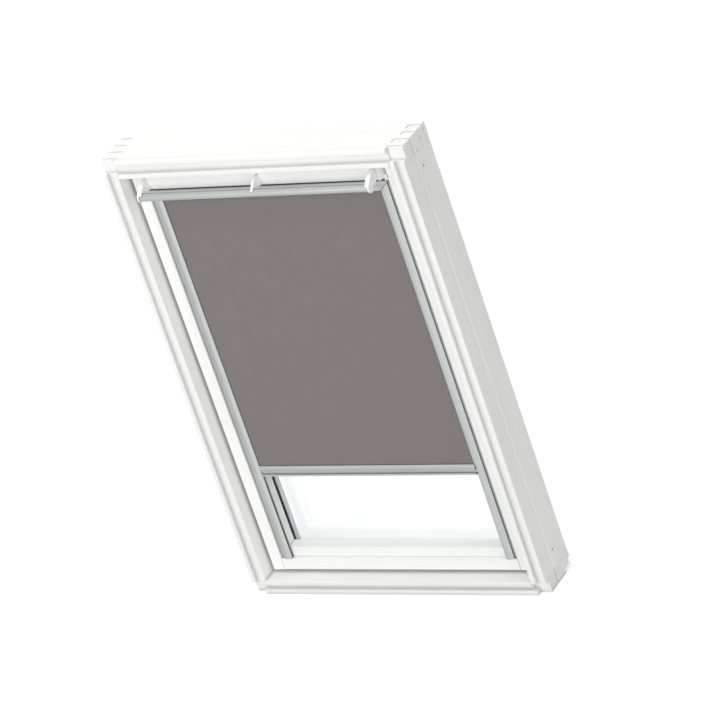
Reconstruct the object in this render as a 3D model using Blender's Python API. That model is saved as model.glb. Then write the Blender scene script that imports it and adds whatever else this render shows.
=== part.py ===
"""Centre-pivot roof window with its fitted roller blind.

Metres, +Z up the slope of the roof, +X to the right as seen from the room, +Y outwards.
Depths are measured outwards from the room face, where the lips of the frame end.
The origin lies on the underside of the sill, at the middle of the width.
"""

import math

import bmesh
import bpy
from mathutils import Vector

# Frame
FRAME_WIDTH = 0.660
FRAME_HEIGHT = 0.978
FRAME_DEPTH = 0.104
ORIGIN_DEPTH = 0.036
SIDE_THICKNESS = 0.033
HEAD_THICKNESS = 0.037
SILL_THICKNESS = 0.031
LIP_DEPTH = 0.012
LINING_GROOVE_DEPTH = 0.009
INNER_LIP = 0.0102
SIDE_OUTER_LIP = 0.0088
HEAD_OUTER_LIP = 0.0093
SILL_OUTER_LIP = 0.0103
SILL_LIP_OVERHANG = 0.009
LIP_ROUNDING = 0.0014
SIDE_GROOVE_DEPTH = 0.037
SIDE_GROOVE_WALL = 0.0022
SIDE_GROOVE_WIDTH = 0.009
SIDE_GROOVE_CUT = 0.0018
HEAD_LINE_WIDTH = 0.0006
HEAD_LINE_CUT = 0.0004
SIDE_END_RECESS = 0.0012
FRONT_FINGER = 0.005
FINGERS = 7
SHORT_FINGER_FROM = 3
SHORT_FINGER_INSET = 0.006
DRIP_DEPTH = 0.077
DRIP_HEIGHT = 0.009
DRIP_STEP_DEPTH = 0.0965
DRIP_STEP_TOP = 0.019
DRIP_SLOPE_DEPTH = 0.101
DRIP_SLOPE_TOP = 0.0207
FIXING_HOLE_RADIUS = 0.0025
FIXING_HOLE_DRILL = 0.009
FIXING_HOLE_FROM_END = 0.067
FIXING_HOLE_DEPTH = 0.058
JOINT_GAP = 0.0004
TOUCH = 0.0003

# Sash
SASH_GAP = 0.0068
SASH_FACE_DEPTH = 0.030
SASH_FACE_WIDTH = 0.025
SASH_STEP = 0.010
SHELF_WIDTH = 0.0188
REBATE_FACE_DEPTH = 0.066
SASH_BACK_DEPTH = 0.093
REBATE_WIDTH = 0.0095
RAIL_FACE_HEIGHT = 0.0244
RAIL_REVEAL_HEIGHT = 0.0465
RAIL_SHELF_HEIGHT = 0.044
RAIL_ROUNDING = 0.004
TIMBER_ROUNDING = 0.0012
TOP_RAIL_DROP = 0.062
TOP_RAIL_FACE_HEIGHT = 0.031
ROLL_RECESS_DEPTH = 0.058
VENT_SLOT_HEIGHT = 0.014
VENT_SLOT_ABOVE_FACE = 0.008
VENT_SLOT_START = 0.040
VENT_SLOT_TO_FACE = 0.0403
VENT_FILTER_FRONT = 0.045
VENT_FILTER_BACK = 0.075

# Glazing
PANE_THICKNESS = 0.004
PANE_CAVITY = 0.012
PANE_BITE = 0.0085
BOTTOM_PANE_BITE = 0.0216
BED_THICKNESS = 0.0055
BOTTOM_BED_INSET = 0.0045
SPACER_WIDTH = 0.0062
SPACER_INSET = 0.0005
SASH_SEAL_HEIGHT = 0.0045
SASH_SEAL_HALF_DEPTH = 0.003
COVER_SHEET = 0.0018
COVER_RISE = 0.004
COVER_INSET = 0.001
BOTTOM_COVER_INSET = 0.0145
FRAME_COVER_RISE = 0.015
FRAME_COVER_WIDTH = 0.018
FRAME_COVER_INSET = 0.012

# Pivot
PIVOT_DEPTH = 0.062
PIVOT_PIN_RADIUS = 0.006
PIVOT_PIN_BITE = 0.007
PIVOT_CLEARANCE = 0.0001
HINGE_PLATE_THICKNESS = 0.0025
HINGE_PLATE_HEIGHT = 0.110
HINGE_PLATE_DEPTH = 0.030
SASH_PLATE_HEIGHT = 0.086
PIVOT_BUSH_RADIUS = 0.010

# Ventilation flap, arms and control bar
FLAP_END_INSET = 0.0117
FLAP_AXIS_DEPTH = 0.0235
FLAP_AXIS_UNDER_SASH_TOP = 0.0250
FLAP_FRONT_DEPTH = 0.0140
FLAP_WALL = 0.0028
FLAP_BARREL_RADIUS = 0.0042
FLAP_TOP_UNDER_SASH_TOP = 0.0005
FLAP_PIN_RADIUS = 0.0020
CHEEK_THICKNESS = 0.0035
ARM_THICKNESS = 0.0046
END_ARM_THICKNESS = 0.0088
END_CUP_PLATE = 0.0034
CONTROL_BAR_RADIUS = 0.0078
CONTROL_BAR_DEPTH = -0.0140
CONTROL_BAR_UNDER_SASH_TOP = 0.0252
ARM_COLLAR = 0.0018
ARM_TOP_UNDER_SASH_TOP = 0.0003
ARM_CROWN_BOW = 0.0038
ARM_VAULT_BOW = 0.0012
GRIP_START_DEGREES = 140
GRIP_END_DEGREES = 300

# Latch
LOCK_HALF_WIDTH = 0.026
LOCK_FRONT_DEPTH = 0.0335
LOCK_BACK_DEPTH = 0.056
LOCK_HEIGHT = 0.024
LATCH_HALF_WIDTH = 0.009
LATCH_THICKNESS = 0.006
LATCH_RISE = 0.0046
LATCH_BODY = 0.012
STRIKER_HALF_WIDTH = 0.035
STRIKER_THICKNESS = 0.0015

# Blind
CHANNEL_WIDTH = 0.0245
CHANNEL_INNER_EDGE = 0.0002
CHANNEL_FLANGE = 0.0070
CHANNEL_FLANGE_DEPTH = 0.0350
CHANNEL_CROWN_DEPTH = 0.0296
CHANNEL_SHOULDER_DEPTH = 0.0318
CHANNEL_SLOT_FRONT = 0.0330
CHANNEL_SLOT_BACK = 0.0372
CHANNEL_SLOT_REACH = 0.0120
CASING_FRONT_DEPTH = 0.0270
CASING_BACK_DEPTH = 0.0565
CASING_HEIGHT = 0.0208
CASING_TOP_UNDER_SASH_TOP = 0.0352
CASING_WALL = 0.0013
CASING_SLOT_FRONT = 0.0318
CASING_SLOT_BACK = 0.0385
CASING_RIDGE = 0.0007
CLOTH_DEPTH = 0.0345
CLOTH_THICKNESS = 0.0006
CLOTH_IN_CHANNEL = 0.0034
ROLL_RADIUS = 0.0074
ROLLER_TUBE_RADIUS = 0.0055
ROLLER_TUBE_WALL = 0.0010
ROLLER_PIN_RADIUS = 0.0020
ROLL_POCKET = 0.0008
PLUG_LENGTH = 0.014
SPRING_LENGTH = 0.150
SPRING_SHAFT = 0.156
SPRING_TURNS = 12
SPRING_WIRE_RADIUS = 0.0005
BOTTOM_BAR_HEIGHT = 0.0226
BOTTOM_BAR_TOP = 0.2773
BOTTOM_BAR_FRONT_DEPTH = 0.0285
BOTTOM_BAR_BACK_DEPTH = 0.0385
BOTTOM_BAR_END_GAP = 0.0006
SLIDER_REACH = 0.0090
SLIDER_HEIGHT = 0.0150
SLIDER_THICKNESS = 0.0030

# Places worked out from the sizes
HALF_WIDTH = FRAME_WIDTH / 2
OPENING_X = HALF_WIDTH - SIDE_THICKNESS
OPENING_TOP = FRAME_HEIGHT - HEAD_THICKNESS
OPENING_BOTTOM = SILL_THICKNESS
PIVOT_Z = (OPENING_TOP + OPENING_BOTTOM) / 2
SASH_X = OPENING_X - SASH_GAP
SASH_TOP = OPENING_TOP - SASH_GAP
SASH_BOTTOM = OPENING_BOTTOM + SASH_GAP
STEP_X = SASH_X - SASH_FACE_WIDTH
SHELF_DEPTH = SASH_FACE_DEPTH + SASH_STEP
REVEAL_X = STEP_X - SHELF_WIDTH
VENT_SLOT_END = STEP_X - VENT_SLOT_TO_FACE
FLAP_HALF_LENGTH = STEP_X - FLAP_END_INSET
BAR_SEAT_X = FLAP_HALF_LENGTH - END_CUP_PLATE
REBATE_X = REVEAL_X + REBATE_WIDTH
GLASS_BOTTOM = SASH_BOTTOM + RAIL_REVEAL_HEIGHT
GLASS_TOP = SASH_TOP - TOP_RAIL_DROP
PANE_X = REVEAL_X + PANE_BITE
PANE_BOTTOM = GLASS_BOTTOM - BOTTOM_PANE_BITE
REBATE_BOTTOM = PANE_BOTTOM - (REBATE_WIDTH - PANE_BITE)
PANE_TOP = GLASS_TOP + PANE_BITE
INNER_PANE_FRONT = REBATE_FACE_DEPTH + TOUCH + BED_THICKNESS + TOUCH
INNER_PANE_BACK = INNER_PANE_FRONT + PANE_THICKNESS
OUTER_PANE_FRONT = INNER_PANE_BACK + PANE_CAVITY
OUTER_PANE_BACK = OUTER_PANE_FRONT + PANE_THICKNESS
FLAP_AXIS_Z = SASH_TOP - FLAP_AXIS_UNDER_SASH_TOP
CONTROL_BAR_Z = SASH_TOP - CONTROL_BAR_UNDER_SASH_TOP
CASING_TOP = SASH_TOP - CASING_TOP_UNDER_SASH_TOP
CASING_BOTTOM = CASING_TOP - CASING_HEIGHT
CHANNEL_OUTER = STEP_X - TOUCH
CHANNEL_INNER = CHANNEL_OUTER - CHANNEL_WIDTH
CHANNEL_BOTTOM = SASH_BOTTOM + RAIL_FACE_HEIGHT + TOUCH
CHANNEL_TOP = CASING_BOTTOM - TOUCH
CLOTH_X = CHANNEL_INNER + CLOTH_IN_CHANNEL
ROLLER_DEPTH = CLOTH_DEPTH + CLOTH_THICKNESS / 2 + TOUCH + ROLL_RADIUS
ROLLER_Z = (CASING_TOP + CASING_BOTTOM) / 2
TUBE_END = CLOTH_X - TOUCH
PLUG_INNER_END = TUBE_END - PLUG_LENGTH
BOTTOM_BAR_X = CHANNEL_INNER - BOTTOM_BAR_END_GAP
BOTTOM_BAR_LOW = BOTTOM_BAR_TOP - BOTTOM_BAR_HEIGHT

ROUND_SEGMENTS = 32
FILLET_SEGMENTS = 3

MATERIALS = {
    "painted_timber": ((0.90, 0.90, 0.89), 0.38, 0.0),
    "painted_sash": ((0.90, 0.90, 0.875), 0.35, 0.0),
    "white_plastic": ((0.88, 0.88, 0.88), 0.40, 0.0),
    "anodised_aluminium": ((0.62, 0.65, 0.64), 0.32, 1.0),
    "lacquered_aluminium": ((0.16, 0.17, 0.18), 0.45, 0.6),
    "zinc_steel": ((0.60, 0.60, 0.58), 0.40, 1.0),
    "clear_glass": ((0.90, 0.96, 0.96), 0.02, 0.0),
    "spacer_metal": ((0.55, 0.56, 0.57), 0.40, 1.0),
    "black_rubber": ((0.03, 0.03, 0.03), 0.70, 0.0),
    "grey_foam": ((0.25, 0.25, 0.26), 0.95, 0.0),
    "taupe_cloth": ((0.22, 0.195, 0.185), 0.90, 0.0),
}


def clear_scene():
    """Remove every object that the scene holds."""
    for item in list(bpy.data.objects):
        bpy.data.objects.remove(item, do_unlink=True)


def finish(name):
    """Return the material of that name, made on first use."""
    made = bpy.data.materials.get(name)
    if made:
        return made
    colour, roughness, metallic = MATERIALS[name]
    made = bpy.data.materials.new(name)
    made.use_nodes = True
    shader = made.node_tree.nodes["Principled BSDF"]
    shader.inputs["Base Color"].default_value = (*colour, 1.0)
    shader.inputs["Roughness"].default_value = roughness
    shader.inputs["Metallic"].default_value = metallic
    return made


def at_depth(depth):
    """Turn a depth behind the room face into a Y coordinate."""
    return depth - ORIGIN_DEPTH


def point(axis, along, first, second):
    """Place an outline's point: (depth, z) along X, (x, z) along Y, (x, depth) along Z."""
    if axis == "X":
        return Vector((along, at_depth(first), second))
    if axis == "Y":
        return Vector((first, at_depth(along), second))
    return Vector((first, at_depth(second), along))


def rounded(corners):
    """Turn corners of (a, b) or (a, b, radius) into an outline with its fillets."""
    outline = []
    count = len(corners)
    for index, corner in enumerate(corners):
        here = Vector(corner[:2])
        radius = corner[2] if len(corner) > 2 else 0.0
        before = Vector(corners[index - 1][:2]) - here
        after = Vector(corners[(index + 1) % count][:2]) - here
        half_angle = before.angle(after) / 2
        if radius <= 0 or half_angle > math.radians(88):
            outline.append(tuple(here))
            continue
        reach = min(radius / math.tan(half_angle), 0.45 * before.length, 0.45 * after.length)
        fitted = reach * math.tan(half_angle)
        middle = (before.normalized() + after.normalized()).normalized()
        centre = here + middle * (fitted / math.sin(half_angle))
        start = here + before.normalized() * reach - centre
        end = here + after.normalized() * reach - centre
        turn = start.angle_signed(end)
        for step in range(FILLET_SEGMENTS + 1):
            angle = -turn * step / FILLET_SEGMENTS
            cosine = math.cos(angle)
            sine = math.sin(angle)
            swung = Vector((start.x * cosine - start.y * sine, start.x * sine + start.y * cosine))
            outline.append(tuple(centre + swung))
    return outline


def arc(centre, radius, start_degrees, end_degrees, steps):
    """Return points on an arc, both ends included."""
    points = []
    for step in range(steps + 1):
        angle = math.radians(start_degrees + (end_degrees - start_degrees) * step / steps)
        points.append((centre[0] + radius * math.cos(angle), centre[1] + radius * math.sin(angle)))
    return points


def circle(centre, radius, segments=ROUND_SEGMENTS):
    """Return the points of a full circle."""
    return arc(centre, radius, 0, 360, segments)[:-1]


def mirrored(outline):
    """Mirror an outline in its first coordinate."""
    return [(-corner[0], *corner[1:]) for corner in outline]


def place_mesh(name, shape, material, parent, smooth):
    """Make the object of a finished bmesh, with its origin at its parent's or its own corner."""
    bmesh.ops.recalc_face_normals(shape, faces=shape.faces)
    if parent:
        origin = parent.location
    else:
        origin = Vector([min(vert.co[k] for vert in shape.verts) for k in range(3)])
    bmesh.ops.translate(shape, vec=-origin, verts=shape.verts)
    mesh = bpy.data.meshes.new(name)
    shape.to_mesh(mesh)
    shape.free()
    mesh.materials.append(finish(material))
    if smooth:
        mesh.shade_smooth()
        mesh.set_sharp_from_angle(angle=math.radians(35))
    item = bpy.data.objects.new(name, mesh)
    bpy.context.scene.collection.objects.link(item)
    if parent:
        item.parent = parent
    else:
        item.location = origin
    return item


def extrude_outline(shape, outline, axis, start, end):
    """Add a prism of the outline to a bmesh, from start to end along the axis."""
    ring = [shape.verts.new(point(axis, start, a, b)) for a, b in outline]
    face = shape.faces.new(ring)
    grown = bmesh.ops.extrude_face_region(shape, geom=[face])
    moved = [part for part in grown["geom"] if isinstance(part, bmesh.types.BMVert)]
    shift = point(axis, end, 0, 0) - point(axis, start, 0, 0)
    bmesh.ops.translate(shape, vec=shift, verts=moved)


def prism(name, outline, axis, start, end, material, parent=None, smooth=False):
    """Make one solid by extruding a closed outline."""
    shape = bmesh.new()
    extrude_outline(shape, outline, axis, start, end)
    return place_mesh(name, shape, material, parent, smooth)


def rectangle(low_a, high_a, low_b, high_b):
    """Return the four corners of an upright rectangle."""
    return [(low_a, low_b), (high_a, low_b), (high_a, high_b), (low_a, high_b)]


def window_ring(name, inner, outer, front, back, material, parent):
    """Make a closed rectangular ring; inner and outer are (half width, bottom, top)."""
    shape = bmesh.new()
    loops = []
    for half, bottom, top in (outer, inner):
        for depth in (front, back):
            corners = rectangle(-half, half, bottom, top)
            loops.append([shape.verts.new(point("Y", depth, x, z)) for x, z in corners])
    outer_front, outer_back, inner_front, inner_back = loops
    for one, two in (
        (outer_front, inner_front),
        (inner_front, inner_back),
        (inner_back, outer_back),
        (outer_back, outer_front),
    ):
        for side in range(4):
            after = (side + 1) % 4
            shape.faces.new((one[side], one[after], two[after], two[side]))
    return place_mesh(name, shape, material, parent, False)


def cutter(name, outline, axis, start, end):
    """Make a hidden prism that only cuts its neighbours."""
    item = prism(name, outline, axis, start, end, "painted_timber")
    item.hide_render = True
    item.display_type = "WIRE"
    return item


def boolean(item, other, operation="DIFFERENCE"):
    """Put an exact Boolean on an object."""
    change = item.modifiers.new(other.name, "BOOLEAN")
    change.operation = operation
    change.solver = "EXACT"
    change.object = other


def pivot_empty(name, depth, height, parent=None):
    """Make an empty on a joint's axis."""
    item = bpy.data.objects.new(name, None)
    bpy.context.scene.collection.objects.link(item)
    item.location = (0.0, at_depth(depth), height)
    if parent:
        item.parent = parent
        item.matrix_parent_inverse = parent.matrix_world.inverted()
    return item


def finger_bounds():
    """Return the depths where the corner fingers change over."""
    first = LIP_DEPTH + FRONT_FINGER
    pitch = (FRAME_DEPTH - first) / FINGERS
    return [first + pitch * index for index in range(FINGERS + 1)]


def side_outline():
    """Return the section of the right side member, (x, depth)."""
    groove_in = OPENING_X + INNER_LIP
    groove_out = HALF_WIDTH - SIDE_OUTER_LIP
    return rounded([
        (OPENING_X, 0.0, LIP_ROUNDING),
        (groove_in, 0.0, LIP_ROUNDING / 2),
        (groove_in, LINING_GROOVE_DEPTH),
        (groove_out, LINING_GROOVE_DEPTH),
        (groove_out, 0.0, LIP_ROUNDING / 2),
        (HALF_WIDTH, 0.0, LIP_ROUNDING),
        (HALF_WIDTH, SIDE_GROOVE_DEPTH),
        (HALF_WIDTH - SIDE_GROOVE_CUT, SIDE_GROOVE_DEPTH + SIDE_GROOVE_WALL),
        (HALF_WIDTH, SIDE_GROOVE_DEPTH + SIDE_GROOVE_WIDTH),
        (HALF_WIDTH, FRAME_DEPTH, LIP_ROUNDING),
        (OPENING_X, FRAME_DEPTH, LIP_ROUNDING),
    ])


def head_outline():
    """Return the section of the head, (depth, z)."""
    groove_low = OPENING_TOP + INNER_LIP
    groove_high = FRAME_HEIGHT - HEAD_OUTER_LIP
    return rounded([
        (0.0, OPENING_TOP, LIP_ROUNDING),
        (0.0, groove_low, LIP_ROUNDING / 2),
        (LINING_GROOVE_DEPTH, groove_low),
        (LINING_GROOVE_DEPTH, groove_high),
        (0.0, groove_high, LIP_ROUNDING / 2),
        (0.0, FRAME_HEIGHT, 2 * LIP_ROUNDING),
        (LIP_DEPTH - HEAD_LINE_WIDTH / 2, FRAME_HEIGHT),
        (LIP_DEPTH, FRAME_HEIGHT - HEAD_LINE_CUT),
        (LIP_DEPTH + HEAD_LINE_WIDTH / 2, FRAME_HEIGHT),
        (FRAME_DEPTH, FRAME_HEIGHT, LIP_ROUNDING / 2),
        (FRAME_DEPTH, OPENING_TOP, LIP_ROUNDING),
    ])


def sill_outline():
    """Return the section of the sill, (depth, z)."""
    groove_high = OPENING_BOTTOM - INNER_LIP
    return rounded([
        (0.0, 0.0, LIP_ROUNDING),
        (0.0, SILL_OUTER_LIP, LIP_ROUNDING / 2),
        (LINING_GROOVE_DEPTH, SILL_OUTER_LIP),
        (LINING_GROOVE_DEPTH, groove_high),
        (0.0, groove_high, LIP_ROUNDING / 2),
        (0.0, OPENING_BOTTOM, LIP_ROUNDING),
        (FRAME_DEPTH, OPENING_BOTTOM, LIP_ROUNDING),
        (FRAME_DEPTH, 0.0),
    ])


def build_frame():
    """Build the four timber members, box-jointed at the corners, and what is cut into them."""
    bounds = finger_bounds()
    beyond = 0.010
    sides = {}
    for sign, word in ((-1, "left"), (1, "right")):
        outline = side_outline() if sign > 0 else mirrored(side_outline())
        sides[word] = prism(f"frame_side_{word}", outline, "Z", 0.0, FRAME_HEIGHT - SIDE_END_RECESS,
                            "painted_timber")
    head = prism("frame_head", head_outline(), "X", -HALF_WIDTH, HALF_WIDTH, "painted_timber")
    sill = prism("frame_sill", sill_outline(), "X", -HALF_WIDTH, HALF_WIDTH, "painted_timber")

    drip = cutter("drip_rebate_cut", [
        (DRIP_DEPTH, -beyond),
        (DRIP_DEPTH, DRIP_HEIGHT),
        (DRIP_STEP_DEPTH, DRIP_HEIGHT),
        (DRIP_STEP_DEPTH, DRIP_STEP_TOP),
        (DRIP_SLOPE_DEPTH, DRIP_SLOPE_TOP),
        (FRAME_DEPTH + beyond, DRIP_SLOPE_TOP),
        (FRAME_DEPTH + beyond, -beyond),
    ], "X", -HALF_WIDTH - beyond, HALF_WIDTH + beyond)
    head_block_low = OPENING_TOP + INNER_LIP
    sill_block_high = OPENING_BOTTOM - INNER_LIP / 2

    for sign, word in ((-1, "left"), (1, "right")):
        side = sides[word]
        near = sign * (OPENING_X - beyond)
        far = sign * (HALF_WIDTH + beyond)
        joint = sign * (OPENING_X - JOINT_GAP)
        top_block = cutter(f"top_block_cut_{word}", rectangle(-beyond, LIP_DEPTH, head_block_low,
                           FRAME_HEIGHT + beyond), "X", near, far)
        low_block = cutter(f"low_block_cut_{word}", rectangle(-beyond, LIP_DEPTH, -beyond,
                           sill_block_high), "X", near, far)
        boolean(side, top_block)
        boolean(side, low_block)
        for index in range(0, FINGERS, 2):
            low = bounds[index]
            high = bounds[index + 1] if index + 1 < FINGERS else FRAME_DEPTH + beyond
            notch_top = cutter(f"top_notch_{word}_{index}", rectangle(low, high,
                               OPENING_TOP - JOINT_GAP, FRAME_HEIGHT + beyond), "X", near, far)
            notch_low = cutter(f"low_notch_{word}_{index}", rectangle(low, high, -beyond,
                               OPENING_BOTTOM + JOINT_GAP), "X", near, far)
            boolean(side, notch_top)
            boolean(side, notch_low)
        for index in range(-1, FINGERS, 2):
            low = -beyond if index < 0 else bounds[index] - JOINT_GAP
            high = bounds[index + 1] + JOINT_GAP
            inset = SHORT_FINGER_INSET if index >= SHORT_FINGER_FROM else 0.0
            over = cutter(f"head_notch_{word}_{index + 1}", rectangle(low, high,
                          OPENING_TOP - beyond, FRAME_HEIGHT + beyond), "X",
                          joint + sign * inset, far)
            boolean(head, over)
            if inset:
                shorter = cutter(f"short_finger_{word}_{index}", rectangle(
                    low - JOINT_GAP, high + JOINT_GAP, OPENING_TOP - JOINT_GAP,
                    FRAME_HEIGHT + beyond), "X", near, sign * (OPENING_X + inset))
                boolean(side, shorter)
            if index < 0:
                low = LIP_DEPTH - JOINT_GAP
            under = cutter(f"sill_notch_{word}_{index + 1}", rectangle(low, high, -beyond,
                           OPENING_BOTTOM + beyond), "X", joint, far)
            boolean(sill, under)
        above_lip = cutter(f"sill_lip_cut_{word}", rectangle(-beyond, LIP_DEPTH + JOINT_GAP,
                           SILL_OUTER_LIP, OPENING_BOTTOM + beyond), "X", joint, far)
        past_lip = cutter(f"sill_lip_end_{word}", rectangle(-beyond, LIP_DEPTH + JOINT_GAP,
                          -beyond, OPENING_BOTTOM), "X",
                          sign * (OPENING_X + SILL_LIP_OVERHANG), far)
        boolean(sill, above_lip)
        boolean(sill, past_lip)
        boolean(side, drip)
        for number, height in enumerate((FIXING_HOLE_FROM_END, FRAME_HEIGHT - FIXING_HOLE_FROM_END)):
            hole = cutter(f"fixing_hole_{word}_{number}", circle((FIXING_HOLE_DEPTH, height),
                          FIXING_HOLE_RADIUS, 12), "X",
                          sign * (HALF_WIDTH - FIXING_HOLE_DRILL), far)
            boolean(side, hole)
        pocket = cutter(f"hinge_pocket_{word}", rectangle(
            PIVOT_DEPTH - HINGE_PLATE_DEPTH / 2 - TOUCH, PIVOT_DEPTH + HINGE_PLATE_DEPTH / 2 + TOUCH,
            PIVOT_Z - HINGE_PLATE_HEIGHT / 2 - TOUCH, PIVOT_Z + HINGE_PLATE_HEIGHT / 2 + TOUCH),
            "X", near, sign * (OPENING_X + HINGE_PLATE_THICKNESS + TOUCH))
        boolean(side, pocket)
    boolean(sill, drip)

    striker_front = LOCK_FRONT_DEPTH
    striker = rectangle(striker_front, LOCK_BACK_DEPTH, OPENING_TOP,
                        OPENING_TOP + STRIKER_THICKNESS)
    striker_cut = cutter("striker_pocket", rectangle(
        striker_front - TOUCH, LOCK_BACK_DEPTH + TOUCH, OPENING_TOP - beyond,
        OPENING_TOP + STRIKER_THICKNESS + TOUCH), "X",
        -STRIKER_HALF_WIDTH - TOUCH, STRIKER_HALF_WIDTH + TOUCH)
    boolean(head, striker_cut)
    plate = prism("striker_plate", striker, "X", -STRIKER_HALF_WIDTH, STRIKER_HALF_WIDTH,
                  "zinc_steel")
    mouth_depth = (LOCK_FRONT_DEPTH + LOCK_BACK_DEPTH) / 2
    mouth = cutter("striker_mouth", rectangle(
        mouth_depth - LATCH_THICKNESS, mouth_depth + LATCH_THICKNESS,
        OPENING_TOP - beyond, OPENING_TOP + beyond), "X",
        -LATCH_HALF_WIDTH * 1.3, LATCH_HALF_WIDTH * 1.3)
    boolean(plate, mouth)


def cover_section(inner, outer, seat, rise):
    """Return a sheet cover's section: two legs on the seat and a raised back."""
    back = seat + rise
    return rounded([
        (inner, seat),
        (inner, back, COVER_SHEET),
        (outer, back, COVER_SHEET),
        (outer, seat),
        (outer - COVER_SHEET, seat),
        (outer - COVER_SHEET, back - COVER_SHEET),
        (inner + COVER_SHEET, back - COVER_SHEET),
        (inner + COVER_SHEET, seat),
    ])


def build_frame_covers():
    """Build the outer sheet covers that stand on the back of the timber frame."""
    seat = FRAME_DEPTH + TOUCH
    outer = HALF_WIDTH - FRAME_COVER_INSET
    inner = outer - FRAME_COVER_WIDTH
    section = cover_section(inner, outer, seat, FRAME_COVER_RISE)
    high = FRAME_HEIGHT - FRAME_COVER_INSET
    low = DRIP_SLOPE_TOP + TOUCH
    for sign, word in ((-1, "left"), (1, "right")):
        outline = section if sign > 0 else mirrored(section)
        prism(f"frame_cover_{word}", outline, "Z", low, high, "lacquered_aluminium")
    span = inner - TOUCH
    for word, under, over in (("head", high - FRAME_COVER_WIDTH, high),
                              ("sill", low, OPENING_BOTTOM)):
        section = cover_section(under, over, seat, FRAME_COVER_RISE)
        outline = [(depth, height) for height, depth in section]
        prism(f"frame_cover_{word}", outline, "X", -span, span, "lacquered_aluminium")


def build_pivots(sash):
    """Build both halves of the two pivots: frame plate with its pin, and sash plate."""
    plate_low = PIVOT_Z - HINGE_PLATE_HEIGHT / 2
    plate_high = PIVOT_Z + HINGE_PLATE_HEIGHT / 2
    front = PIVOT_DEPTH - HINGE_PLATE_DEPTH / 2
    back = PIVOT_DEPTH + HINGE_PLATE_DEPTH / 2
    sash_low = PIVOT_Z - SASH_PLATE_HEIGHT / 2
    sash_high = PIVOT_Z + SASH_PLATE_HEIGHT / 2
    corner = HINGE_PLATE_DEPTH / 3
    for sign, word in ((-1, "left"), (1, "right")):
        frame_plate = prism(f"frame_hinge_plate_{word}", rounded([
            (front, plate_low, corner), (back, plate_low, corner),
            (back, plate_high, corner), (front, plate_high, corner)]), "X",
            sign * OPENING_X, sign * (OPENING_X + HINGE_PLATE_THICKNESS), "zinc_steel")
        seat = cutter(f"pin_seat_{word}", circle((PIVOT_DEPTH, PIVOT_Z),
                      PIVOT_PIN_RADIUS + PIVOT_CLEARANCE), "X",
                      sign * (OPENING_X - TOUCH),
                      sign * (OPENING_X + HINGE_PLATE_THICKNESS + TOUCH))
        boolean(frame_plate, seat)
        prism(f"pivot_pin_{word}", circle((PIVOT_DEPTH, PIVOT_Z), PIVOT_PIN_RADIUS), "X",
              sign * (SASH_X - PIVOT_PIN_BITE), sign * (OPENING_X + HINGE_PLATE_THICKNESS),
              "zinc_steel", smooth=True)
        sash_plate = prism(f"sash_hinge_plate_{word}", rounded([
            (front, sash_low, corner), (back, sash_low, corner),
            (back, sash_high, corner), (front, sash_high, corner)]), "X",
            sign * (SASH_X - HINGE_PLATE_THICKNESS), sign * SASH_X, "zinc_steel", sash)
        hole = cutter(f"pin_hole_{word}", circle((PIVOT_DEPTH, PIVOT_Z),
                      PIVOT_PIN_RADIUS + PIVOT_CLEARANCE), "X",
                      sign * (SASH_X - 2 * PIVOT_PIN_BITE), sign * (SASH_X + TOUCH))
        boolean(sash_plate, hole)
        bush = prism(f"pivot_bush_{word}", circle((PIVOT_DEPTH, PIVOT_Z), PIVOT_BUSH_RADIUS), "X",
                     sign * (SASH_X - PIVOT_PIN_BITE - 2 * TOUCH),
                     sign * (SASH_X - HINGE_PLATE_THICKNESS - TOUCH), "black_rubber", sash,
                     smooth=True)
        boolean(bush, hole)


def stile_outline():
    """Return the section of the right stile, (x, depth)."""
    return rounded([
        (STEP_X, SASH_FACE_DEPTH, TIMBER_ROUNDING),
        (SASH_X, SASH_FACE_DEPTH, TIMBER_ROUNDING),
        (SASH_X, SASH_BACK_DEPTH, TIMBER_ROUNDING),
        (REBATE_X, SASH_BACK_DEPTH),
        (REBATE_X, REBATE_FACE_DEPTH),
        (REVEAL_X, REBATE_FACE_DEPTH, TIMBER_ROUNDING / 2),
        (REVEAL_X, SHELF_DEPTH, TIMBER_ROUNDING),
        (STEP_X, SHELF_DEPTH),
    ])


def coping_outline():
    """Return what a rail loses at its right end to fit the stile, (x, depth)."""
    beyond = 0.010
    return [
        (STEP_X - JOINT_GAP, SASH_FACE_DEPTH - beyond),
        (SASH_X + beyond, SASH_FACE_DEPTH - beyond),
        (SASH_X + beyond, SASH_BACK_DEPTH + beyond),
        (REBATE_X - JOINT_GAP, SASH_BACK_DEPTH + beyond),
        (REBATE_X - JOINT_GAP, REBATE_FACE_DEPTH + JOINT_GAP),
        (REVEAL_X - JOINT_GAP, REBATE_FACE_DEPTH + JOINT_GAP),
        (REVEAL_X - JOINT_GAP, SHELF_DEPTH - JOINT_GAP),
        (STEP_X - JOINT_GAP, SHELF_DEPTH - JOINT_GAP),
    ]


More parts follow.
